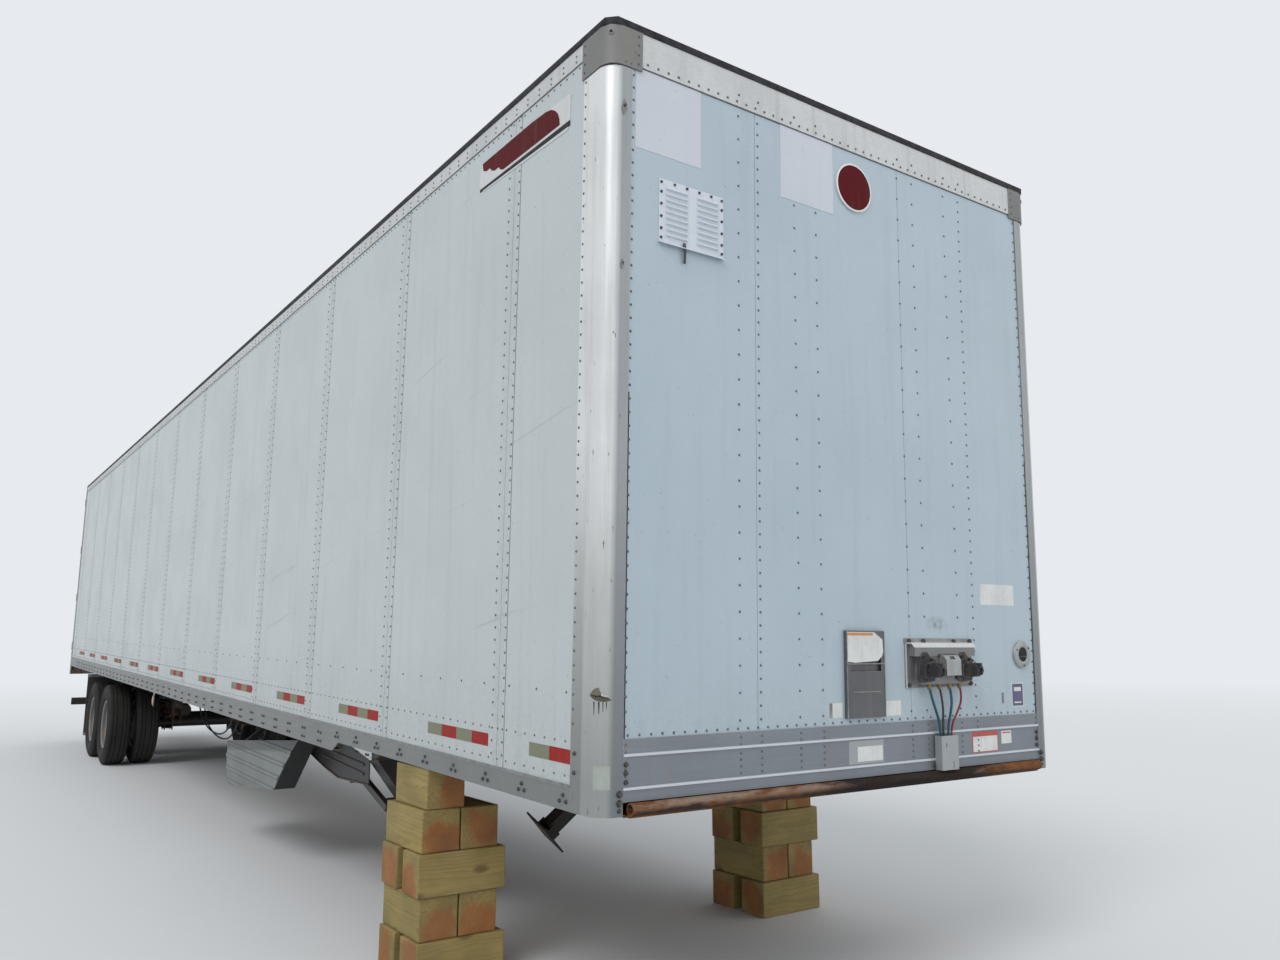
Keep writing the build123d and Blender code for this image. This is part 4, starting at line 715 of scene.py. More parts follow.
for name, finish in nodeFinishes.items():
    for slot in nodes[name].material_slots:
        slot.material = finish
print("CAD finishes placed on", len(nodeFinishes), "nodes")


# helpers that build meshes
ahead, astern = (1, 0, 0), (-1, 0, 0)


def addBox(bm, low, high, finish=0):
    xs, ys, zs = (sorted(pair) for pair in zip(low, high))
    corners = [bm.verts.new((xs[i], ys[j], zs[k])) for i in (0, 1) for j in (0, 1) for k in (0, 1)]
    for loop in ((0, 1, 3, 2), (4, 6, 7, 5), (0, 4, 5, 1), (2, 3, 7, 6), (0, 2, 6, 4), (1, 5, 7, 3)):
        bm.faces.new([corners[i] for i in loop]).material_index = finish
    return corners


# a closed outline (two numbers a corner, in the order of the other two axes) carried along an axis
def addPrism(bm, outline, axis, start, stop, finish=0):
    def at(p, q):
        a, b = p
        return {"x": (q, a, b), "y": (a, q, b), "z": (a, b, q)}[axis]
    ends = [[bm.verts.new(at(p, q)) for p in outline] for q in (start, stop)]
    count = len(outline)
    for i in range(count):
        j = (i + 1) % count
        bm.faces.new((ends[0][i], ends[0][j], ends[1][j], ends[1][i])).material_index = finish
    for end in ends:
        bm.faces.new(end).material_index = finish


def addRod(bm, start, stop, radius, sides=16, finish=0):
    start, stop = Vector(start), Vector(stop)
    turnTo = (stop - start).to_track_quat("Z", "Y").to_matrix()
    circle = [turnTo @ Vector((radius * math.cos(a), radius * math.sin(a), 0))
              for a in (2 * math.pi * i / sides for i in range(sides))]
    rings = [[bm.verts.new(centre + spot) for spot in circle] for centre in (start, stop)]
    for i in range(sides):
        j = (i + 1) % sides
        face = bm.faces.new((rings[0][i], rings[0][j], rings[1][j], rings[1][i]))
        face.material_index, face.smooth = finish, True
    bm.faces.new(rings[0]).material_index = finish
    bm.faces.new(rings[1]).material_index = finish


# a ring turned from (radius, along) points about an axis
def addLathe(bm, profile, centre, axis, sides, finish=0):
    centre = Vector(centre)
    turnTo = Vector(axis).to_track_quat("Z", "Y").to_matrix()
    rings = []
    for i in range(sides):
        a = 2 * math.pi * i / sides
        rings.append([bm.verts.new(centre + turnTo @ Vector((r * math.cos(a), r * math.sin(a), along)))
                      for r, along in profile])
    for i in range(sides):
        j = (i + 1) % sides
        for k in range(len(profile)):
            m = (k + 1) % len(profile)
            face = bm.faces.new((rings[i][k], rings[j][k], rings[j][m], rings[i][m]))
            face.material_index, face.smooth = finish, True
    return rings


# turns a bmesh into a finished piece that rides on a body
def settle(bm, name, finishes, body="trailer", level=True, soften=0.0, smooth=35):
    if level:
        bm.transform(lean)
    bmesh.ops.recalc_face_normals(bm, faces=bm.faces)
    mesh = bpy.data.meshes.new(name)
    bm.to_mesh(mesh)
    bm.free()
    for finish in finishes:
        mesh.materials.append(finish)
    mesh.shade_smooth()
    mesh.set_sharp_from_angle(angle=math.radians(smooth))
    piece = newObject(name, mesh)
    if soften:
        edges = piece.modifiers.new("softEdges", "BEVEL")
        edges.width, edges.segments = soften, 2
        edges.limit_method, edges.angle_limit = "ANGLE", math.radians(40)
    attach(piece, body)
    return piece


# cords: the lines on the nose and the air lines that hang between frame and bogie
noseLines = {"blueService": (0.385, 0.458, 0.0055, hoseBlue, 0.3064),
             "blackWire": (0.452, 0.474, 0.0045, hoseBlack, 0.293),
             "blueSupply": (0.520, 0.506, 0.0055, hoseBlue, 0.2921),
             "redSupply": (0.590, 0.524, 0.0045, hoseRed, 0.3038)}
airLines = {"airLineLeft": (-0.300, -0.690, 2.7394), "airLineRight": (-0.360, -0.630, 2.6665),
            "start": -8.7752, "end": -10.9088, "radius": 0.009}


def growCord(name, spots, radius, finish, node):
    line = bpy.data.curves.new(name, "CURVE")
    line.dimensions = "3D"
    spline = line.splines.new("NURBS")
    spline.points.add(len(spots) - 1)
    for mark, spot in zip(spline.points, spots):
        mark.co = (*(lean @ Vector(spot)), 1)
    spline.order_u = 3
    spline.use_endpoint_u = True
    line.bevel_depth, line.bevel_resolution = radius, 4
    line.resolution_u, line.use_fill_caps = 10, True
    line.materials.append(finish)
    piece = newObject(name, line)
    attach(piece, "trailer")
    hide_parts(node)


for name, (top, low, radius, finish, long) in noseLines.items():
    growCord(name, [(0.021, top, 0.4094), (0.036, top, 0.350), (0.032, top + (low - top) * 0.45, 0.290),
                    (0.019, low, 0.225), (0.019, low, 0.120)], radius, finish, "nose_hoses")
span = airLines["start"] - airLines["end"]
for name in ("airLineLeft", "airLineRight"):
    across, low, long = airLines[name]
    start, end = airLines["start"], airLines["end"]
    growCord(name,
             [(start, across, -0.0384), (start, across, -0.200), (start - 0.16 * span, across, 0.82 * low),
              (start - 0.36 * span, across, low), (start - 0.64 * span, across, 0.97 * low),
              (start - 0.84 * span, across, 0.8 * low), (end, across, -0.230), (end, across, -0.0384)],
             airLines["radius"], hoseBlack, "air_lines")
print("cords laid")

# rivet, bolt and nut heads on marked points, by Geometry Nodes
headTree = bpy.data.node_groups.new("headsOnPoints", "GeometryNodeTree")
headSockets = {}
for label, kind, value in (("Geometry", "NodeSocketGeometry", None), ("Radius", "NodeSocketFloat", 0.006),
                           ("Height", "NodeSocketFloat", 0.004), ("Taper", "NodeSocketFloat", 0.55),
                           ("Sides", "NodeSocketInt", 8), ("Finish", "NodeSocketMaterial", None)):
    socket = headTree.interface.new_socket(name=label, in_out="INPUT", socket_type=kind)
    if value is not None:
        socket.default_value = value
    headSockets[label] = socket.identifier
headTree.interface.new_socket(name="Geometry", in_out="OUTPUT", socket_type="NodeSocketGeometry")
given = put(headTree, "NodeGroupInput").outputs
topRadius = put(headTree, "ShaderNodeMath", {0: given["Radius"], 1: given["Taper"]},
                operation="MULTIPLY").outputs[0]
head = put(headTree, "GeometryNodeMeshCone",
           {"Vertices": given["Sides"], "Side Segments": 1, "Radius Top": topRadius,
            "Radius Bottom": given["Radius"], "Depth": given["Height"]})
facing = put(headTree, "GeometryNodeInputNamedAttribute", {"Name": "facing"},
             data_type="FLOAT_VECTOR").outputs[0]
scaleAt = put(headTree, "GeometryNodeInputNamedAttribute", {"Name": "size"}, data_type="FLOAT").outputs[0]
turned = put(headTree, "FunctionNodeAlignRotationToVector", {"Vector": facing}, axis="Z").outputs[0]
placed = put(headTree, "GeometryNodeInstanceOnPoints",
             {"Points": given["Geometry"], "Instance": head.outputs["Mesh"], "Rotation": turned,
              "Scale": scaleAt}).outputs[0]
real = put(headTree, "GeometryNodeRealizeInstances", {0: placed}).outputs[0]
dressed = put(headTree, "GeometryNodeSetMaterial",
              {"Geometry": real, "Material": given["Finish"]}).outputs[0]
put(headTree, "NodeGroupOutput", {0: dressed})


# each spot is a place, a facing and a scale; shape is the head's radius, height, taper and sides
def growHeads(name, spots, shape, finish, body="trailer", level=True):
    mesh = bpy.data.meshes.new(name)
    turnOnly = lean.to_3x3() if level else Matrix.Identity(3)
    mesh.from_pydata([lean @ Vector(p) if level else Vector(p) for p, n, s in spots], [], [])
    facings = mesh.attributes.new("facing", "FLOAT_VECTOR", "POINT").data
    facings.foreach_set("vector", [c for p, n, s in spots for c in turnOnly @ Vector(n)])
    scales = mesh.attributes.new("size", "FLOAT", "POINT").data
    scales.foreach_set("value", [s for p, n, s in spots])
    piece = newObject(name, mesh)
    grower = piece.modifiers.new("heads", "NODES")
    grower.node_group = headTree
    for label, value in zip(("Radius", "Height", "Taper", "Sides", "Finish"), (*shape, finish)):
        grower[headSockets[label]] = value
    grown = bpy.data.meshes.new_from_object(piece.evaluated_get(bpy.context.evaluated_depsgraph_get()))
    piece.modifiers.remove(grower)
    piece.data = grown
    grown.shade_smooth()
    grown.set_sharp_from_angle(angle=math.radians(62))
    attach(piece, body)
    return piece


# evenly spaced marks from start to stop
def alongLine(start, stop, pitch, facing, size=1.0):
    start, stop = Vector(start), Vector(stop)
    count = max(1, round((stop - start).length / pitch))
    return [(start + (stop - start) * (i / count), facing, size) for i in range(count + 1)]


# rivets
rivets = {"pitch": 0.050, "rowPitch": 0.075, "columnHalf": 0.045, "radius": 0.0055, "height": 0.0035,
          "top": 2.818, "low": 0.105, "tapeHigh": 0.235, "midRow": 0.405, "lipRow": 2.808,
          "midPitch": 0.22, "noseLow": 0.268, "noseHigh": 2.745, "patchLow": 2.41}
rivetSizes = (rivets["radius"], rivets["height"], 0.5, 8)
sideStart, sideEnd = -0.22, -van["length"] + 0.13
for side, name in ((-1, "rivetsRight"), (1, "rivetsLeft")):
    skin = side * van["skin"]
    out = (0, side, 0)
    marks = []
    for x in seamPlaces:
        for dx in (-rivets["columnHalf"], rivets["columnHalf"]):
            marks += alongLine((x + dx, skin, rivets["low"] + 0.03), (x + dx, skin, rivets["top"]),
                               rivets["pitch"], out)
    for z in (rivets["low"] + 0.012, rivets["tapeHigh"]):
        marks += alongLine((sideStart, skin, z), (sideEnd, skin, z), rivets["rowPitch"], out, 0.9)
    marks += alongLine((sideStart, skin, rivets["lipRow"]), (sideEnd, skin, rivets["lipRow"]),
                       rivets["pitch"], out, 0.9)
    marks += alongLine((sideStart, skin, rivets["midRow"]), (sideEnd, skin, rivets["midRow"]),
                       rivets["midPitch"], out, 1.0)
    for z in (van["topRail"] + 0.016, van["topRail"] + 0.040):
        marks += alongLine((-0.24, side * van["half"], z), (sideEnd, side * van["half"], z), 0.10, out,
                           0.95)
    marks += alongLine((-0.164, side * van["half"], 0.30), (-0.164, side * van["half"], 2.72), 0.050, out,
                       1.0)
    growHeads(name, marks, rivetSizes, rivetMetal)

noseMarks = []
noseColumns = {-1.180: 0.050, -0.6615: 0.102, -0.5575: 0.0505, -0.3535: 0.102, -0.2275: 0.102,
               0.2995: 0.102, 0.4015: 0.102, 0.6295: 0.102, 0.7415: 0.0505, 1.180: 0.050}
for y, pitch in noseColumns.items():
    high = rivets["patchLow"] if y in (-0.3535, -0.2275) else rivets["noseHigh"] - 0.03
    noseMarks += alongLine((van["nose"], y, rivets["noseLow"] + 0.03), (van["nose"], y, high), pitch, ahead)
noseMarks += alongLine((van["nose"], -1.17, rivets["noseLow"]), (van["nose"], 1.17, rivets["noseLow"]),
                       0.050, ahead)
noseMarks += alongLine((0, -1.12, 2.775), (0, 1.12, 2.775), 0.050, ahead, 1.1)
for y in noseColumns:
    noseMarks.append(((0, y, 2.806), ahead, 1.1))
    noseMarks += alongLine((-0.002, y, 0.108), (-0.002, y, 0.180), 0.024, ahead)
    noseMarks += alongLine((-0.002, y, 0.214), (-0.002, y, 0.238), 0.024, ahead)
growHeads("rivetsNose", noseMarks, rivetSizes, rivetMetal)
print("rivets grown")

# huck bolts on the bottom rails, in the groups that hold each beam
boltMarks = []
boltRows = random.Random(7)
beamPitch = 0.3048
# behind this place the rail is deeper
railStep = -2.74
for side in (-1, 1):
    for i in range(50):
        x = sideStart - i * beamPitch
        if x < sideEnd:
            break
        group = ((-0.022, 0.030), (0.0, 0.052), (0.022, 0.030))
        if x < railStep:
            group = ((-0.022, 0.028), (0.022, 0.028), (-0.022, -0.020), (0.022, -0.020))
        for dx, z in group:
            boltMarks.append(((x + dx, side * van["half"], z + boltRows.uniform(-0.002, 0.002)),
                              (0, side, 0), 1.0))
for side in (-1, 1):
    for z in (0.045, 0.075):
        boltMarks.append(((0.0, side * 1.205, z), ahead, 1.5))
    for z in (0.112, 0.1425, 0.171):
        boltMarks.append(((-0.001, side * 1.178, z), ahead, 1.1))
growHeads("railBolts", boltMarks, (0.0085, 0.007, 0.7, 10), boltMetal)
print("bolts grown")

# nose: patches and bare labels
nosePlates = {"patchTall": (-1.1705, -0.8555, 2.430, 2.7565, patchSheet),
              "patchMiddle": (-0.4305, -0.1195, 2.430, 2.7565, patchSheet),
              "stickerBare": (0.800, 1.052, 0.762, 0.858, labelPaper)}
face = van["nose"]
bm = bmesh.new()
for low, high, z0, z1, finish in nosePlates.values():
    addBox(bm, (face - 0.0005, low, z0), (face + (0.0012 if finish is patchSheet else 0.0004), high, z1),
           0 if finish is patchSheet else 1)
# small bare labels: (x face, y, y, z, z, finish index)
for x, y0, y1, z0, z1, part in ((face, -0.192, -0.118, 0.287, 0.345, 1),
                                (face + 0.0003, -0.192, -0.176, 0.287, 0.345, 2),
                                (face, 0.132, 0.234, 0.283, 0.345, 1),
                                (face, 0.930, 0.948, 0.310, 0.360, 2),
                                (face, 1.008, 1.098, 0.292, 0.402, 1),
                                (face + 0.0004, 1.0125, 1.0935, 0.2965, 0.3975, 3),
                                (face + 0.0008, 1.026, 1.078, 0.364, 0.382, 1),
                                (face + 0.0008, 1.026, 1.078, 0.309, 0.315, 1),
                                (-0.002, 0.698, 0.884, 0.100, 0.190, 4),
                                (-0.0016, 0.704, 0.878, 0.104, 0.170, 1),
                                (-0.002, 0.910, 0.985, 0.130, 0.187, 1),
                                (-0.0016, 0.918, 0.977, 0.176, 0.181, 4),
                                (-0.002, -0.089, 0.115, 0.100, 0.191, 2),
                                (-0.0012, -0.040, 0.108, 0.108, 0.167, 1)):
    addBox(bm, (x - 0.0005, y0, z0), (x + 0.0004, y1, z1), part)
# painted shadow: thin dark strips beside the corner posts, where the post flanges meet the nose sheet
for low, high in ((-1.1905, -1.1815), (1.1865, 1.1905)):
    addBox(bm, (face - 0.0005, low, 0.256), (face + 0.0004, high, 1.48), 6)
# label on the papers holder, torn at its lower corner
torn = [(-0.101, 0.630), (0.060, 0.630), (0.072, 0.622), (0.110, 0.600), (0.113, 0.548), (0.104, 0.530),
        (0.080, 0.512), (-0.055, 0.505), (-0.101, 0.510)]
addPrism(bm, torn, "x", 0.0098, 0.0105, 1)
addBox(bm, (0.0104, -0.099, 0.616), (0.0108, 0.052, 0.627), 5)
settle(bm, "nosePlates", [patchSheet, labelPaper, boxMetal, labelPurple, labelRed, labelOrange, gapAndShadowBlack])

# papers holder: frame strips and the spring bar
bm = bmesh.new()
for y0, y1, z0, z1 in ((-0.105, 0.122, 0.498, 0.503), (-0.072, 0.090, 0.384, 0.389),
                       (-0.105, -0.101, 0.284, 0.634), (0.118, 0.122, 0.284, 0.634)):
    addBox(bm, (0.0095, y0, z0), (0.0125, y1, z1))
settle(bm, "holderStrips", [boxMetal], soften=0.0008)

# vent: its bolts and its pull strap
ventBolts = []
for z in (2.100, 2.137, 2.185, 2.235, 2.283, 2.322):
    ventBolts += [((-0.003, -1.0485, z), ahead, 1.0), ((-0.003, -0.7515, z), ahead, 1.0)]
ventBolts += [((-0.003, y, 2.326), ahead, 1.0) for y in (-0.985, -0.925, -0.865, -0.805)]
growHeads("ventBolts", ventBolts, (0.0062, 0.006, 0.6, 10), boltMetal)
bm = bmesh.new()
strap = [(0.0015, 2.100), (0.0055, 2.098), (0.010, 2.070), (0.006, 2.018), (0.0025, 2.016), (0.004, 2.068),
         (0.0008, 2.092)]
addPrism(bm, strap, "y", -0.946, -0.936)
settle(bm, "ventPull", [hoseBlack], soften=0.001)

# badge: raised pale rim round a maroon disc, nothing drawn on it
badge = {"y": 0.008, "z": 2.586, "radius": 0.110, "rim": 0.007}
bm = bmesh.new()
r = badge["radius"]
addLathe(bm, [(r + 0.001, -0.0065), (r + 0.001, 0.0016), (r - 0.002, 0.0030), (r - badge["rim"], 0.0026),
              (r - badge["rim"], -0.001)], (0, badge["y"], badge["z"]), ahead, 64)
settle(bm, "badgeRim", [badgeRim])
bm = bmesh.new()
addLathe(bm, [(0.001, -0.001), (0.001, 0.0020), (r * 0.6, 0.0019), (r - badge["rim"] - 0.0005, 0.0014),
              (r - badge["rim"] - 0.0005, -0.001)], (0, badge["y"], badge["z"]), ahead, 64)
settle(bm, "badgeFace", [maroonPaint])

# side plaque: a stepped maroon plate on its pale backing, bare
plaque = {"left": -1.092, "right": -0.287, "low": 2.6225, "high": 2.742, "lip": 0.018}
bm = bmesh.new()
side = -van["skin"]
x0, x1, z0, z1 = plaque["left"], plaque["right"], plaque["low"], plaque["high"]
backing = [(x0, z0 + 0.003), (x1, z0 - 0.002), (x1 + 0.004, z1 - 0.020), (x1 - 0.012, z1 - 0.006),
           (x0 + 0.030, z1), (x0, z1 - 0.020)]
addPrism(bm, backing, "y", side + 0.001, side - 0.0030, 0)
field = [(-1.066, 2.742), (-1.058, 2.706), (-1.030, 2.695), (-0.990, 2.695), (-0.974, 2.676),
         (-0.946, 2.665), (-0.902, 2.665), (-0.886, 2.647), (-0.861, 2.637), (-0.366, 2.634),
         (-0.370, 2.660), (-0.384, 2.690), (-0.406, 2.712), (-0.436, 2.729), (-0.478, 2.738),
         (-0.600, 2.744)]
addPrism(bm, field, "y", side - 0.002, side - 0.0055, 1)
# painted shadow: a dark strip under the backing, as the shade of the raised plate
addPrism(bm, [(x0, z0 + 0.0028), (x0, z0 - plaque["lip"] * 0.5), (x1, z0 - plaque["lip"] - 0.007),
              (x1, z0 - 0.0022)], "y", side + 0.001, side - 0.0026, 2)
settle(bm, "sidePlaqueFace", [badgeRim, maroonPaint, gapAndShadowBlack], soften=0.0005)

# round port on the nose: pale cast ring, its dark opening off centre, a clip across it
port = {"y": 1.090, "z": 0.534, "radius": 0.062, "hole": 0.034}
bm = bmesh.new()
r = port["radius"]
addLathe(bm, [(r + 0.002, -0.001), (r + 0.001, 0.010), (r - 0.006, 0.0135), (r - 0.016, 0.0150),
              (port["hole"] + 0.004, 0.0152), (port["hole"], 0.0135), (port["hole"], 0.0085),
              (r - 0.004, 0.0080)], (face, port["y"], port["z"]), ahead, 48)
for a in range(3):
    turnBy = math.radians(35 + 120 * a)
    spot = (face + 0.0145, port["y"] + (r - 0.011) * math.cos(turnBy),
            port["z"] + (r - 0.011) * math.sin(turnBy))
    addRod(bm, spot, (spot[0] + 0.003, spot[1], spot[2]), 0.0045, 8, 1)
addLathe(bm, [(0.0005, 0.0105), (port["hole"] - 0.0008, 0.0105), (port["hole"] - 0.0008, 0.0090),
              (0.0005, 0.0090)], (face, port["y"], port["z"]), ahead, 32, 2)
addBox(bm, (face + 0.0135, port["y"] - 0.030, port["z"] - 0.012),
       (face + 0.0175, port["y"] + 0.026, port["z"] - 0.007), 1)
settle(bm, "portRing", [socketMetal, boltMetal, gapAndShadowBlack], soften=0.0006)

# connection box: scalloped flange, bright ledge, pale side strip, socket cover, cast plates and hose nuts
box = {"y0": 0.260, "y1": 0.722, "low": 0.583, "high": 0.606, "tooth": 0.0115, "socket": (0.446, 0.542)}
bm = bmesh.new()
teeth = [(box["y0"], box["low"])]
count = int((box["y1"] - box["y0"]) / box["tooth"])
for k in range(count):
    y = box["y0"] + (box["y1"] - box["y0"]) * k / count
    step = (box["y1"] - box["y0"]) / count
    teeth += [(y + step * 0.08, box["high"] - 0.003), (y + step * 0.3, box["high"]),
              (y + step * 0.62, box["high"]), (y + step * 0.86, box["high"] - 0.003)]
teeth.append((box["y1"], box["low"]))
addPrism(bm, teeth, "x", face + 0.0002, face + 0.0058, 0)
addPrism(bm, [(-0.001, 0.5815), (0.0175, 0.5825), (0.0180, 0.5860), (0.0010, 0.5905), (-0.001, 0.5905)],
         "y", box["y0"] + 0.014, box["y1"] - 0.010, 1)
addPrism(bm, [(0.0165, 0.5845), (0.0350, 0.5665), (0.0362, 0.5675), (0.0182, 0.5865)], "y",
         box["y0"] + 0.022, box["y1"] - 0.022, 1)
addBox(bm, (-0.003, box["y0"] + 0.006, 0.396), (0.0005, box["y0"] + 0.013, 0.584), 1)
addPrism(bm, [(0.030, 0.5365), (0.058, 0.5330), (0.0725, 0.5140), (0.0745, 0.4480), (0.0712, 0.4475),
              (0.0700, 0.5090), (0.0565, 0.5270), (0.030, 0.5310)], "y", *box["socket"], 2)
for y in (box["socket"][0], box["socket"][1] - 0.0025):
    addPrism(bm, [(0.0310, 0.5310), (0.0565, 0.5268), (0.0698, 0.5088), (0.0706, 0.4760), (0.0560, 0.4650),
                  (0.0310, 0.4640)], "y", y, y + 0.0025, 0)
addRod(bm, (0.036, 0.440, 0.5345), (0.036, 0.548, 0.5345), 0.0048, 10, 3)
for cy in (0.365, 0.620):
    # cast plate that carries the coupling, its lugs, gasket and the nut of its hose
    addPrism(bm, [(cy - 0.066, 0.432), (cy - 0.060, 0.505), (cy - 0.034, 0.546), (cy - 0.008, 0.548),
                  (cy + 0.036, 0.506), (cy + 0.050, 0.452), (cy + 0.038, 0.424), (cy - 0.030, 0.418)], "x",
             0.0290, 0.0400, 3)
    addPrism(bm, [(cy - 0.044, 0.440), (cy - 0.036, 0.492), (cy - 0.004, 0.508), (cy + 0.026, 0.492),
                  (cy + 0.030, 0.446), (cy - 0.010, 0.430)], "x", 0.0395, 0.0520, 3)
    addLathe(bm, [(0.0165, 0.020), (0.0195, 0.0265), (0.0245, 0.0270), (0.0275, 0.0215), (0.0275, 0.015),
                  (0.0165, 0.015)], (0.084, cy - 0.0005, 0.470), (0, 1, 0), 28, 4)
    addPrism(bm, [(0.094, 0.444), (0.118, 0.452), (0.1235, 0.470), (0.118, 0.490), (0.094, 0.497),
                  (0.100, 0.470)], "y", cy + 0.004, cy + 0.0115, 3)
    addRod(bm, (0.060, cy - 0.020, 0.494), (0.060, cy + 0.018, 0.512), 0.0075, 10, 3)
    for dy, dz in ((-0.034, 0.058), (0.020, 0.046)):
        addRod(bm, (0.0395, cy + dy, 0.470 + dz), (0.0470, cy + dy, 0.470 + dz), 0.0078, 6, 4)
for y in (0.385, 0.452, 0.520, 0.590):
    addRod(bm, (0.0212, y, 0.4135), (0.0222, y, 0.3960), 0.0100, 6, 5)
    addRod(bm, (0.0222, y, 0.3965), (0.0232, y, 0.3880), 0.0078, 12, 5)
settle(bm, "boxDress", [boxPale, badgeRim, socketMetal, oldCasting, gapAndShadowBlack, brassNut],
       soften=0.0006)

# bolts of the connection box and of the small box that the lines end in
boxBolts = [((0.002, y, 0.5945), ahead, 1.0) for y in (0.284, 0.378, 0.585, 0.694)]
boxBolts += [((0.000, 0.282, 0.408), ahead, 1.0), ((0.000, 0.698, 0.408), ahead, 1.0)]
boxBolts += [((0.003, y, 0.062), ahead, 0.7) for y in (0.427, 0.555)]
growHeads("boxBolts", boxBolts, (0.010, 0.009, 0.85, 6), boltMetal)

# right corner post: small brackets, a torn dent and a bare sticker, then the bolts of both posts
bm = bmesh.new()
y = -1.2265
for z, tall, wide in ((2.568, 0.032, 0.011), (1.953, 0.020, 0.007)):
    addPrism(bm, [(y - wide, z), (y - wide * 0.3, z - tall), (y + wide, z - tall * 0.2),
                  (y + wide * 0.6, z + tall * 0.6), (y, z + tall)], "x", -0.002, 0.005, 0)
    addRod(bm, (-0.001, y, z + tall * 0.15), (0.012, y, z + tall * 0.15), wide * 0.55, 8, 1)
settle(bm, "postBrackets", [castMetal, boltMetal], soften=0.001)

# turn: degrees round the post from straight ahead towards the side, half: half of the dent's width in degrees
dent = {"z": 0.400, "turn": -46, "half": 31, "bulge": 0.011}
bm = bmesh.new()
postMiddle = Vector((-0.075, -(van["half"] - 0.075), 0))
postSkin = 0.0753


# a corner on the rounded post: radius, turn and height
def onPost(bm, r, a, z):
    return bm.verts.new(postMiddle + Vector((r * math.cos(a), r * math.sin(a), z)))


tear = random.Random(11)
rows, arch = [], []
for i in range(17):
    t = i / 16
    a = math.radians(dent["turn"] + dent["half"] * (2 * t - 1))
    lift = math.sin(math.pi * t)
    bulge = dent["bulge"] * lift * (1.2 if t < 0.45 else 0.6)
    ragged = tear.uniform(-0.0022, 0.0022) * lift
    mid = dent["z"] + 0.004 - 0.012 * t
    ring = ((0.0745, -0.014 * lift ** 0.5), (0.0762 + bulge * 0.5, -0.008 * lift + ragged),
            (0.0772 + bulge, 0.003 * lift + ragged), (0.0764 + bulge * 0.6, 0.013 * lift - ragged),
            (0.0745, (0.034 if t < 0.5 else 0.017) * lift ** 0.7 + ragged))
    rows.append([onPost(bm, r, a, mid + z) for r, z in ring])
    if 1 < i < 15:
        lips = ((0.0778 + bulge, 0.001 * lift), (0.0776 + bulge * 0.95, 0.001 + 0.006 * lift))
        arch.append([onPost(bm, r, a, mid + z + ragged) for r, z in lips])
for i, (first, second) in enumerate(zip(rows, rows[1:])):
    for k in range(4):
        made = bm.faces.new((first[k], second[k], second[k + 1], first[k + 1]))
        # painted highlight: the upper faces on the dent's right half take the bright post metal
        made.material_index = 2 if k > 1 and i > 8 else 0
for first, second in zip(arch, arch[1:]):
    bm.faces.new((first[0], second[0], second[1], first[1])).material_index = 1
# short dark streaks below it
for turn, wide, drop in ((-63, 1.8, 0.058), (-49, 2.2, 0.056), (-38, 1.4, 0.048), (-29, 1.6, 0.038)):
    streak = [(math.radians(turn - wide), 0.018), (math.radians(turn + wide), 0.016),
              (math.radians(turn + wide * 0.6), drop), (math.radians(turn - wide * 0.1), drop + 0.004)]
    bm.faces.new([onPost(bm, postSkin, a, dent["z"] - fall) for a, fall in streak]).material_index = 1
settle(bm, "postDent", [dentMetal, gapAndShadowBlack, postMetal])

# bare sticker round the foot of the post
bm = bmesh.new()
label = []
for i in range(9):
    a = math.radians(-62 + 46 * i / 8)
    label.append([onPost(bm, postSkin, a, z) for z in (0.092, 0.170)])
for first, second in zip(label, label[1:]):
    bm.faces.new((first[0], second[0], second[1], first[1]))
settle(bm, "postSticker", [oldPaper])

postBolts = []
for side in (-1, 1):
    postBolts += [((0.0, side * 1.2055, z), ahead, 1.0) for z in (0.020, 0.042)]
    postBolts += [((-0.148, side * van["half"], z), (0, side, 0), 1.0) for z in (0.135, 0.200)]
    for z in (2.762, 2.798, 2.838, 2.874):
        postBolts.append(((0.0, side * 1.165, z), ahead, 0.7))
        postBolts.append(((-0.172, side * van["half"], z), (0, side, 0), 0.7))
    for y in (1.198, 1.222):
        postBolts.append(((0.0, side * y, 2.752), ahead, 0.6))
growHeads("postBolts", postBolts, (0.0085, 0.007, 0.6, 10), boltMetal)

# round plugs on the corner caps
bm = bmesh.new()
for side in (-1, 1):
    a = math.radians(45) * side
    spot = Vector((-0.063 + 0.066 * math.cos(a), side * 1.2325 + 0.066 * math.sin(a), 2.864))
    out = Vector((math.cos(a), math.sin(a), 0))
    addRod(bm, spot - out * 0.002, spot + out * 0.0035, 0.011, 16, 0)
    addRod(bm, spot + out * 0.0030, spot + out * 0.0042, 0.007, 16, 1)
settle(bm, "capPlugs", [castMetal, gapAndShadowBlack])
print("nose dressed")

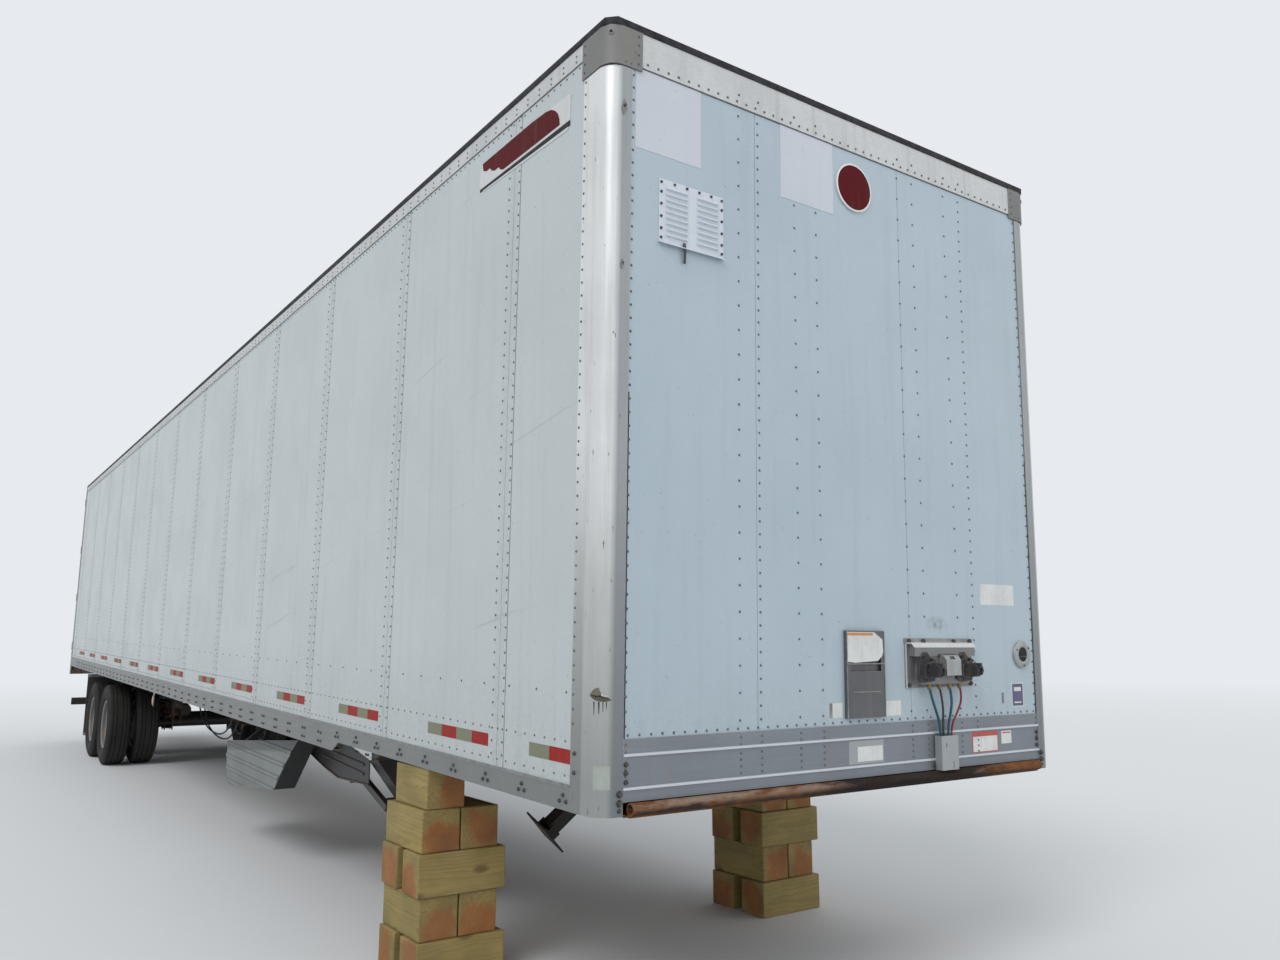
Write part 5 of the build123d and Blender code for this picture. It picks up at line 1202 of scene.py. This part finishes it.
# landing gear: a folded brace, bolts and ribs on each wing plate
gear = {"legX": -2.960, "legY": 0.900, "wingOut": 0.972}
bm = bmesh.new()
for side in (-1, 1):
    wingY = side * gear["wingOut"]
    # rolled edge and two pressed ribs on the wing plate
    edge = [(-3.015, -0.296), (-3.300, -0.308), (-3.560, -0.320), (-3.820, -0.288), (-4.146, -0.233)]
    for (xa, za), (xb, zb) in zip(edge, edge[1:]):
        addRod(bm, (xa, wingY, za), (xb, wingY, zb), 0.0065, 10)
    for (xa, za), (xb, zb) in (((-3.10, -0.245), (-3.90, -0.215)), ((-3.10, -0.190), (-4.02, -0.165))):
        addRod(bm, (xa, wingY - side * 0.004, za), (xb, wingY - side * 0.004, zb), 0.011, 10)
    # brace from the wing plate down to the leg
    addPrism(bm, [(-3.340, -0.335), (-3.320, -0.295), (-2.915, -0.405), (-2.930, -0.445)], "y",
             side * 0.880 - 0.016, side * 0.880 + 0.016)
    addRod(bm, (-3.325, side * 0.860, -0.312), (-3.325, side * 0.975, -0.312), 0.014, 12)
    addRod(bm, (-3.005, side * 0.885, -0.398), (-2.960, side * 0.790, -0.385), 0.016, 12)
    for x in (-3.06, -3.24, -3.55, -3.80, -4.05):
        for dx in (-0.018, 0.018):
            addRod(bm, (x + dx, wingY - side * 0.002, -0.128), (x + dx, wingY + side * 0.006, -0.128),
                   0.0085, 6)
    # flat cover straps round the upper leg
    for z in (-0.118, -0.142):
        addBox(bm, (gear["legX"] - 0.0605, side * gear["legY"] - 0.0605, z - 0.006),
               (gear["legX"] + 0.0605, side * gear["legY"] + 0.0605, z + 0.006))
settle(bm, "gearBraces", [gearSteel], soften=0.0015)
print("landing gear dressed")

# stripes on the sides: a short one on the first panel, then one on each panel but the last
tape = {"low": 0.158, "high": 0.208, "thick": 0.0007, "piece": 0.152, "gap": 0.0006}
sideTapes = [(-0.484, 2), (-1.434, 4), (-2.670, 4), (-3.910, 4), (-5.150, 4), (-6.320, 4)]
sideTapes += [(seamPlaces[i] - 0.62, 4) for i in range(5, 12)]
bm = bmesh.new()
for side in (-1, 1):
    for start, count in sideTapes:
        for k in range(count):
            x = start + k * tape["piece"]
            stop = x + tape["piece"] - tape["gap"]
            addBox(bm, (x, side * (van["skin"] - 0.001), tape["low"]),
                   (stop, side * (van["skin"] + tape["thick"]), tape["high"]), k % 2)
settle(bm, "sideStripes", [tapePale, tapeRed])
print("stripes laid")

# roof edging: the black sealed strip that laps over the roof's edge
# corner: where the cut across the corner cap meets x = 0
edging = {"out": 0.0035, "in": 0.035, "low": 2.8955, "high": 2.9272, "corner": 1.2589}
cut = math.tan(math.radians(22.5))
path = [(-van["length"] + 0.12, van["half"], (0, 1)),
        (edging["corner"] - van["half"], van["half"], (cut, 1)), (0, edging["corner"], (1, cut))]
path += [(x, -y, (nx, -ny)) for x, y, (nx, ny) in reversed(path)]
sag = random.Random(5)
dense = [path[0]]
for (x0, y0, n0), (x1, y1, n1) in zip(path, path[1:]):
    far = math.hypot(x1 - x0, y1 - y0)
    count = max(1, round(far / 0.35))
    square = ((y0 - y1) / far, (x1 - x0) / far)
    dense += [(x0 + (x1 - x0) * i / count, y0 + (y1 - y0) * i / count,
               n1 if i == count else square) for i in range(1, count + 1)]
bm = bmesh.new()
rings = []
for x, y, (nx, ny) in dense:
    dip = sag.uniform(-0.0015, 0.0015)
    outline = ((0.0004, edging["low"] + dip), (edging["out"], edging["low"] + 0.001 + dip),
               (edging["out"] + 0.0008, edging["high"] - 0.005), (edging["out"] - 0.004, edging["high"]),
               (-edging["in"], edging["high"] - 0.0012 + dip * 0.3),
               (-edging["in"] - 0.004, edging["high"] - 0.0034), (0.0004, edging["high"] - 0.0036))
    rings.append([bm.verts.new((x + nx * off, y + ny * off, z)) for off, z in outline])
for first, second in zip(rings, rings[1:]):
    for k in range(7):
        bm.faces.new((first[k], second[k], second[(k + 1) % 7], first[(k + 1) % 7]))
bm.faces.new(rings[0])
bm.faces.new(rings[-1])
settle(bm, "roofEdging", [roofSheet], smooth=50)

# tyres: twin worn highway tyres on each hub
tyre = {"radius": 0.5048, "bead": 0.2905, "sides": 120, "twin": 0.165, "track": 0.984, "centre": 0.505,
        "rows": {"front": -3.872081, "rear": -5.117021}}
halfOutline = [(0.2905, 0.094), (0.297, 0.1035), (0.307, 0.1075), (0.3115, 0.1125), (0.3175, 0.1130),
               (0.321, 0.1150), (0.338, 0.1225), (0.362, 0.1300), (0.388, 0.1348), (0.410, 0.1358),
               (0.4225, 0.1352), (0.4245, 0.1366), (0.4300, 0.1362), (0.4320, 0.1342), (0.450, 0.1298),
               (0.4685, 0.1240), (0.4820, 0.1180), (0.4900, 0.1130), (0.4935, 0.1085), (0.4985, 0.1072),
               (0.5012, 0.0980), (0.5020, 0.0800), (0.4905, 0.0785), (0.4905, 0.0730), (0.5028, 0.0715),
               (0.5038, 0.0365), (0.4915, 0.0350), (0.4915, 0.0295), (0.5044, 0.0280), (0.5048, 0.0100)]
tyreOutline = halfOutline + [(r, -a) for r, a in reversed(halfOutline)]


def buildTyres(name, x, side, body, node):
    bm = bmesh.new()
    reach = bm.verts.layers.float.new("reach")
    uv = bm.loops.layers.uv.new("round")
    for offset in (-tyre["twin"], tyre["twin"]):
        rings = addLathe(bm, tyreOutline, (x, side * tyre["track"] + offset, tyre["centre"]), (0, 1, 0),
                         tyre["sides"])
        count = len(tyreOutline)
        for ring in rings:
            for (r, a), corner in zip(tyreOutline, ring):
                corner[reach] = (r - tyre["bead"]) / (tyre["radius"] - tyre["bead"])
        order = {corner: (i, k) for i, ring in enumerate(rings) for k, corner in enumerate(ring)}
        for face in bm.faces:
            spots = [order.get(loop.vert) for loop in face.loops]
            if None in spots:
                continue
            wraps = max(i for i, k in spots) - min(i for i, k in spots) > 1
            for loop, (i, k) in zip(face.loops, spots):
                loop[uv].uv = ((i + tyre["sides"] if wraps and i == 0 else i) / tyre["sides"],
                               0.5 + tyreOutline[k][1] / 0.3)
    piece = settle(bm, name, [tyreRubber], body, level=False, smooth=42)
    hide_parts(node)


nutRing = {"circle": 0.1425, "count": 10, "face": 0.0112}
for row, x in tyre["rows"].items():
    for sideName, side in (("left", 1), ("right", -1)):
        body = f"wheel_{row}_{sideName}"
        buildTyres(f"tyrePair_{row}_{sideName}", x, side, body, f"tyres_{row}_{sideName}")
        nuts, studs = [], []
        for i in range(nutRing["count"]):
            a = 2 * math.pi * (i + 0.5) / nutRing["count"]
            spot = (x + nutRing["circle"] * math.cos(a), side * (tyre["track"] + nutRing["face"] + 0.010),
                    tyre["centre"] + nutRing["circle"] * math.sin(a))
            nuts.append((spot, (0, side, 0), 1.0))
            studs.append(((spot[0], spot[1] + side * 0.014, spot[2]), (0, side, 0), 1.0))
        growHeads(f"wheelNuts_{row}_{sideName}", nuts, (0.0195, 0.024, 0.9, 6), rustyBolt,
                  body, False)
        growHeads(f"wheelStuds_{row}_{sideName}", studs, (0.0110, 0.022, 0.85, 10), rustyBolt,
                  body, False)
print("tyres and nuts made")

# lamps: ribbed lenses in rubber rings
lamp = {"lens": 0.0500, "ring": 0.0590, "sillY": (-0.940, -0.720, 0.720, 0.940), "sillZ": -0.040,
        "headerY": (-0.080, 0.0, 0.080), "headerZ": 2.8685, "sideX": -8.370, "sideZ": -0.132}
back = -van["length"]
bm = bmesh.new()


def addRoundLamp(bm, centre, axis, ring, lensPart):
    lens = lamp["lens"]
    addLathe(bm, [(ring, -0.001), (ring - 0.001, 0.0035), (ring - 0.004, 0.0060), (lens + 0.002, 0.0050),
                  (lens, 0.002), (lens, -0.004), (ring, -0.004)], centre, axis, 40, 1)
    addLathe(bm, [(0.0008, -0.003), (0.0008, 0.0098), (lens * 0.35, 0.0096), (lens * 0.66, 0.0086),
                  (lens * 0.88, 0.0066), (lens - 0.0008, 0.0040), (lens - 0.0006, -0.003)], centre, axis,
             40, lensPart)


for y in lamp["sillY"]:
    addRoundLamp(bm, (back, y, lamp["sillZ"]), astern, lamp["ring"], 2)
for y in lamp["headerY"]:
    z = lamp["headerZ"]
    addBox(bm, (back - 0.0035, y - 0.037, z - 0.015), (back + 0.004, y + 0.037, z + 0.015), 1)
    addPrism(bm, [(back - 0.003, z - 0.012), (back - 0.008, z - 0.0105), (back - 0.0098, z - 0.004),
                  (back - 0.0098, z + 0.004), (back - 0.008, z + 0.0105), (back - 0.003, z + 0.012)], "y",
             y - 0.033, y + 0.033, 2)
for side in (-1, 1):
    x, z = lamp["sideX"], lamp["sideZ"]
    y = side * (van["half"] - 0.008)
    addBox(bm, (x - 0.030, y, -0.190), (x + 0.030, y - side * 0.004, -0.052), 0)
    addBox(bm, (x - 0.030, y, -0.0555), (x + 0.030, y - side * 0.040, -0.0520), 0)
    addRoundLamp(bm, (x, y + side * 0.001, z), (0, side, 0), lamp["ring"] - 0.003, 3)
lampSet = settle(bm, "lampSet", [galvanised, blackRubber, redLens, amberLens], soften=0.0008)
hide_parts("lamps")
print("lamps made")

# rear frame: stripes on sill and guard, bare plate, bumpers, rivets
# doors: rivets, bolts, seals, stripes and liners
rear = {"sillTape": (0.034, 0.084), "barTape": (-0.652, -0.602), "leaf": (0.006, 1.2175, 0.106, 2.807)}
liner = {"inside": 0.042, "edge": 0.050, "scuff": 0.340, "joint": 1.480}
hinges = [0.266 + i * (2.647 - 0.266) / 3 for i in range(4)]
brackets = (0.226, 1.006, 1.356, 2.307, 2.687)
bm = bmesh.new()
count = int(2.46 / tape["piece"])
for k in range(count):
    y = -count * tape["piece"] / 2 + k * tape["piece"]
    for (z0, z1), half in ((rear["sillTape"], 1.22), (rear["barTape"], 1.22)):
        if abs(y + tape["piece"] / 2) < half:
            stop = y + tape["piece"] - tape["gap"]
            addBox(bm, (back - tape["thick"], y, z0), (back + 0.001, stop, z1), k % 2)
for side in (-1, 1):
    addBox(bm, (back - tape["thick"], side * 1.235, 2.60), (back + 0.001, side * 1.285, 2.80), 0)
    addBox(bm, (back - tape["thick"], side * 1.000, 2.850), (back + 0.001, side * 1.285, 2.900), 0)
settle(bm, "rearStripes", [tapePale, tapeRed])

bm = bmesh.new()
for side in (-1, 1):
    addBox(bm, (back - 0.038, side * 1.105, -0.182), (back + 0.002, side * 1.265, -0.072), 0)
    for z in (-0.155, -0.100):
        addRod(bm, (back - 0.036, side * 1.185, z), (back - 0.0405, side * 1.185, z), 0.014, 12, 2)
addBox(bm, (back - 0.004, -0.165, -0.135), (back + 0.001, 0.165, 0.020), 1)
addBox(bm, (back - 0.006, -0.1525, -0.124), (back - 0.0035, 0.1525, 0.010), 3)
for y in (-0.10, 0.10):
    for z in (-0.004, -0.110):
        addRod(bm, (back - 0.0055, y, z), (back - 0.0085, y, z), 0.006, 8, 2)
addPrism(bm, [(back - 0.002, 0.022), (back - 0.030, 0.020), (back - 0.034, 0.027), (back - 0.018, 0.034),
              (back - 0.002, 0.034)], "y", -0.045, 0.045, 0)
settle(bm, "bumpersAndPlate", [blackRubber, galvanised, boltMetal, labelPaper],
       soften=0.0025)

frameMarks = []
for side in (-1, 1):
    frameMarks += alongLine((back, side * 1.280, 0.14), (back, side * 1.280, 2.78), 0.10, astern)
    frameMarks += alongLine((back + 0.020, side * van["half"], 0.14),
                            (back + 0.020, side * van["half"], 2.78), 0.10, (0, side, 0))
    frameMarks += alongLine((back + 0.090, side * van["half"], 0.14),
                            (back + 0.090, side * van["half"], 2.78), 0.05, (0, side, 0))
frameMarks += alongLine((back, -1.18, 2.908), (back, 1.18, 2.908), 0.118, astern)
growHeads("rearRivets", frameMarks, rivetSizes, rivetMetal)

for sideName, side in (("left", 1), ("right", -1)):
    body = f"door_{sideName}"
    y0, y1, z0, z1 = rear["leaf"]
    marks, bolts = [], []
    for z in (z0 + 0.045, z1 - 0.045):
        marks += alongLine((back, side * (y0 + 0.05), z), (back, side * (y1 - 0.05), z), 0.10, astern)
    for y in (y0 + 0.045, y1 - 0.045):
        marks += alongLine((back, side * y, z0 + 0.10), (back, side * y, z1 - 0.10), 0.10, astern)
    for z in hinges:
        for y in (1.045, 1.090, 1.165):
            for dz in (-0.018, 0.018):
                bolts.append(((back - 0.007, side * y, z + dz), astern, 1.0))
    for z in brackets:
        for y in (0.150, 0.242):
            for dz in (-0.014, 0.014):
                bolts.append(((back - 0.005, side * y, z + dz), astern, 0.85))
    growHeads(f"doorRivets_{sideName}", marks, rivetSizes, rivetMetal, body)
    growHeads(f"doorBolts_{sideName}", bolts, (0.0095, 0.008, 0.6, 10), galvanised,
              body)
    bm = bmesh.new()
    # gasket: two lips round the leaf, mitred
    for inset, wide, proud in ((0.0015, 0.016, 0.0035), (0.008, 0.004, 0.0060)):
        outer = (y0 + inset * 0.4, y1 - inset, z0 + inset, z1 - inset)
        inner = (outer[0] + wide, outer[1] - wide, outer[2] + wide, outer[3] - wide)
        loops = []
        for x in (back + 0.002, back - proud):
            for a, b, c, d in (outer, inner):
                loops.append([bm.verts.new((x, side * y, z)) for y, z in ((a, c), (b, c), (b, d), (a, d))])
        for first, second in ((0, 1), (1, 3), (3, 2), (2, 0)):
            for k in range(4):
                m = (k + 1) % 4
                bm.faces.new((loops[first][k], loops[first][m], loops[second][m], loops[second][k]))
    settle(bm, f"doorGasket_{sideName}", [blackRubber], body)
    bm = bmesh.new()
    for k in range(8):
        y = 0.04 + k * tape["piece"] * 0.98
        if y + tape["piece"] < 1.2:
            addBox(bm, (back - tape["thick"], side * y, 0.160),
                   (back + 0.001, side * (y + tape["piece"] - 0.001), 0.208), k % 2)
    settle(bm, f"doorStripe_{sideName}", [tapePale, tapeRed], body)
    # inner side: two liner boards with a joint strip, a scuff plate at the foot and an edge angle
    board = back + liner["inside"]
    bm = bmesh.new()
    a, b = y0 + liner["edge"], y1 - liner["edge"]
    for low, high, part, thick in ((z0 + liner["edge"], z0 + liner["scuff"], 1, 0.0022),
                                   (z0 + liner["scuff"] + 0.002, liner["joint"] - 0.001, 0, 0.0016),
                                   (liner["joint"] + 0.001, z1 - liner["edge"], 0, 0.0016),
                                   (liner["joint"] - 0.020, liner["joint"] + 0.020, 2, 0.0030)):
        addBox(bm, (board - 0.0008, side * a, low), (board + thick, side * b, high), part)
    for low, high, c, d in ((z0 + 0.022, z0 + 0.044, y0 + 0.022, y1 - 0.022),
                            (z1 - 0.044, z1 - 0.022, y0 + 0.022, y1 - 0.022),
                            (z0 + 0.046, z1 - 0.046, y0 + 0.022, y0 + 0.044),
                            (z0 + 0.046, z1 - 0.046, y1 - 0.044, y1 - 0.022)):
        addBox(bm, (board - 0.0008, side * c, low), (board + 0.0028, side * d, high), 2)
    settle(bm, f"doorLiner_{sideName}", [linerBoard, galvanised, topRailMetal], body,
           soften=0.0005)
    heads = []
    for z in (z0 + 0.070, z0 + liner["scuff"] - 0.025, liner["joint"] - 0.010, liner["joint"] + 0.010,
              z1 - 0.070):
        heads += alongLine((board + 0.0018, side * (a + 0.04), z), (board + 0.0018, side * (b - 0.04), z),
                           0.15, ahead)
    for y in (a + 0.020, (a + b) / 2, b - 0.020):
        heads += alongLine((board + 0.0014, side * y, z0 + 0.45), (board + 0.0014, side * y, z1 - 0.12),
                           0.15, ahead)
    growHeads(f"linerRivets_{sideName}", heads, rivetSizes, galvanised, body)

# mud flaps: clamp bar with bolts, foot strip and moulded ribs on the back face
flap = {"x": -13.8396, "y0": 0.690, "y1": 1.280, "foot": -0.965, "ribs": 11, "bolts": -0.119}
bm = bmesh.new()
for side in (-1, 1):
    x, y0, y1 = flap["x"], side * flap["y0"], side * flap["y1"]
    for k in range(flap["ribs"]):
        y = y0 + (y1 - y0) * (k + 0.5) / flap["ribs"]
        addPrism(bm, [(x + 0.001, y - 0.010), (x - 0.0028, y - 0.005), (x - 0.0028, y + 0.005),
                      (x + 0.001, y + 0.010)], "z", flap["foot"] + 0.045, -0.150, 0)
    addBox(bm, (x - 0.0035, y0, flap["foot"] + 0.006), (x + 0.0115, y1, flap["foot"] + 0.030), 1)
    addBox(bm, (x + 0.0075, y0 + side * 0.004, -0.137), (x + 0.0125, y1 - side * 0.004, -0.102), 1)
    for k in range(5):
        y = y0 + (y1 - y0) * (k + 0.5) / 5
        for inner, outer in ((0.012, 0.0185), (-0.030, -0.0365)):
            addRod(bm, (x + inner, y, flap["bolts"]), (x + outer, y, flap["bolts"]), 0.0095, 6, 2)
settle(bm, "flapFittings", [flapRubber, galvanised, rustyBolt], soften=0.001)
print("rear dressed")

# timber cribs: each timber has its own grain and knots, and softened edges
crib = {"timber": 0.184, "front": -1.405, "length": 0.430, "layers": 5, "soft": 0.006, "nearSide": -1.2955,
        "farSide": 0.7055, "shift": 8.040}
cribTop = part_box("timber_cribs")[1].z
bm = bmesh.new()
grain = bm.verts.layers.float_vector.new("grain")
lies = bm.verts.layers.float.new("lies")
pick = random.Random(23)


def addTimber(low, high, alongAxis):
    corners = addBox(bm, low, high)
    heart = (pick.uniform(-0.03, 0.05), pick.uniform(-0.06, 0.03))
    shift = pick.uniform(0, 40)
    middle = (Vector(low) + Vector(high)) / 2
    for corner in corners:
        off = corner.co - middle
        long, wide = (off.x, off.y) if alongAxis == "x" else (off.y, off.x)
        corner[grain] = (long + shift, wide - heart[0], off.z - heart[1])
        corner[lies] = 0.0 if alongAxis == "x" else 1.0


size = crib["timber"]
for yLow, seat in ((crib["nearSide"], stand["height"] + 0.0329), (crib["farSide"], cribTop - 0.0003)):
    for layer in range(crib["layers"]):
        z0, z1 = layer * size, (layer + 1) * size - 0.0004
        front = crib["shift"] + crib["front"]
        if layer == crib["layers"] - 1:
            addTimber((front - 0.008 - 0.372, yLow + 0.004, z0),
                      (front - 0.008, yLow + 0.004 + size, seat), "x")
        elif (crib["layers"] - layer) % 2 == 0:
            for y in (yLow - 0.018, yLow - 0.012 + size):
                addTimber((front - crib["length"], y, z0), (front, y + size - 0.0004, z1), "x")
        else:
            for x in (front + 0.012 - size, front + 0.004 - crib["length"]):
                addTimber((x, yLow - 0.034, z0), (x + size, yLow + 0.392, z1), "y")
cribs = settle(bm, "cribTimbers", [treatedTimber], level=False, soften=crib["soft"])
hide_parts("timber_cribs")
print("cribs made")

# floor and light
ground = {"radius": 90.0, "fadeFrom": 13.0, "fadeTo": 42.0, "pale": (0.70, 0.71, 0.72),
          "sky": (0.80, 0.825, 0.86)}
bm = bmesh.new()
bmesh.ops.create_circle(bm, cap_ends=True, segments=96, radius=ground["radius"])
mesh = bpy.data.meshes.new("studioFloor")
bm.to_mesh(mesh)
bm.free()
studioFloor = newObject("studioFloor", mesh)
floorFace, tree, surface = newFinish("studioFloorFace")
surface.inputs["Roughness"].default_value = 0.85
spot = objectPlace(tree)
speckle = noiseOf(tree, spot, 60.0, 5, 0.6)
pale = ground["pale"]
tree.links.new(mixOf(tree, speckle, shade(pale, 0.97), shade(pale, 1.03)), surface.inputs["Base Color"])
reach = put(tree, "ShaderNodeVectorMath", {0: spot}, operation="LENGTH").outputs["Value"]
far = spread(tree, reach, ground["fadeFrom"], ground["fadeTo"])
haze = put(tree, "ShaderNodeEmission", {"Color": ground["sky"]}).outputs[0]
mixed = put(tree, "ShaderNodeMixShader",
            {0: times(tree, far, seenOf(tree)), 1: surface.outputs[0], 2: haze}).outputs[0]
output = [n for n in tree.nodes if n.type == "OUTPUT_MATERIAL"][0]
tree.links.new(mixed, output.inputs["Surface"])
mesh.materials.append(floorFace)

world = bpy.data.worlds.new("studioSky")
world.use_nodes = True
scene.world = world
tree = world.node_tree
tree.nodes.clear()
soft = put(tree, "ShaderNodeBackground", {"Color": (0.93, 0.97, 1.0), "Strength": 0.72}).outputs[0]
shown = put(tree, "ShaderNodeBackground", {"Color": ground["sky"], "Strength": 1.0}).outputs[0]
put(tree, "ShaderNodeOutputWorld",
    {"Surface": put(tree, "ShaderNodeMixShader", {0: seenOf(tree), 1: soft, 2: shown}).outputs[0]})

suns = {"key": {"strength": 1.15, "angle": 28, "aim": (-0.35, 0.62, -0.70)},
        "fill": {"strength": 0.45, "angle": 60, "aim": (-0.8, -0.5, -0.35)}}
for name, sun in suns.items():
    data = bpy.data.lights.new(name, "SUN")
    data.energy, data.angle = sun["strength"], math.radians(sun["angle"])
    light = newObject(name, data)
    light.rotation_euler = Vector(sun["aim"]).to_track_quat("-Z", "Y").to_euler()
print("stage and light set")
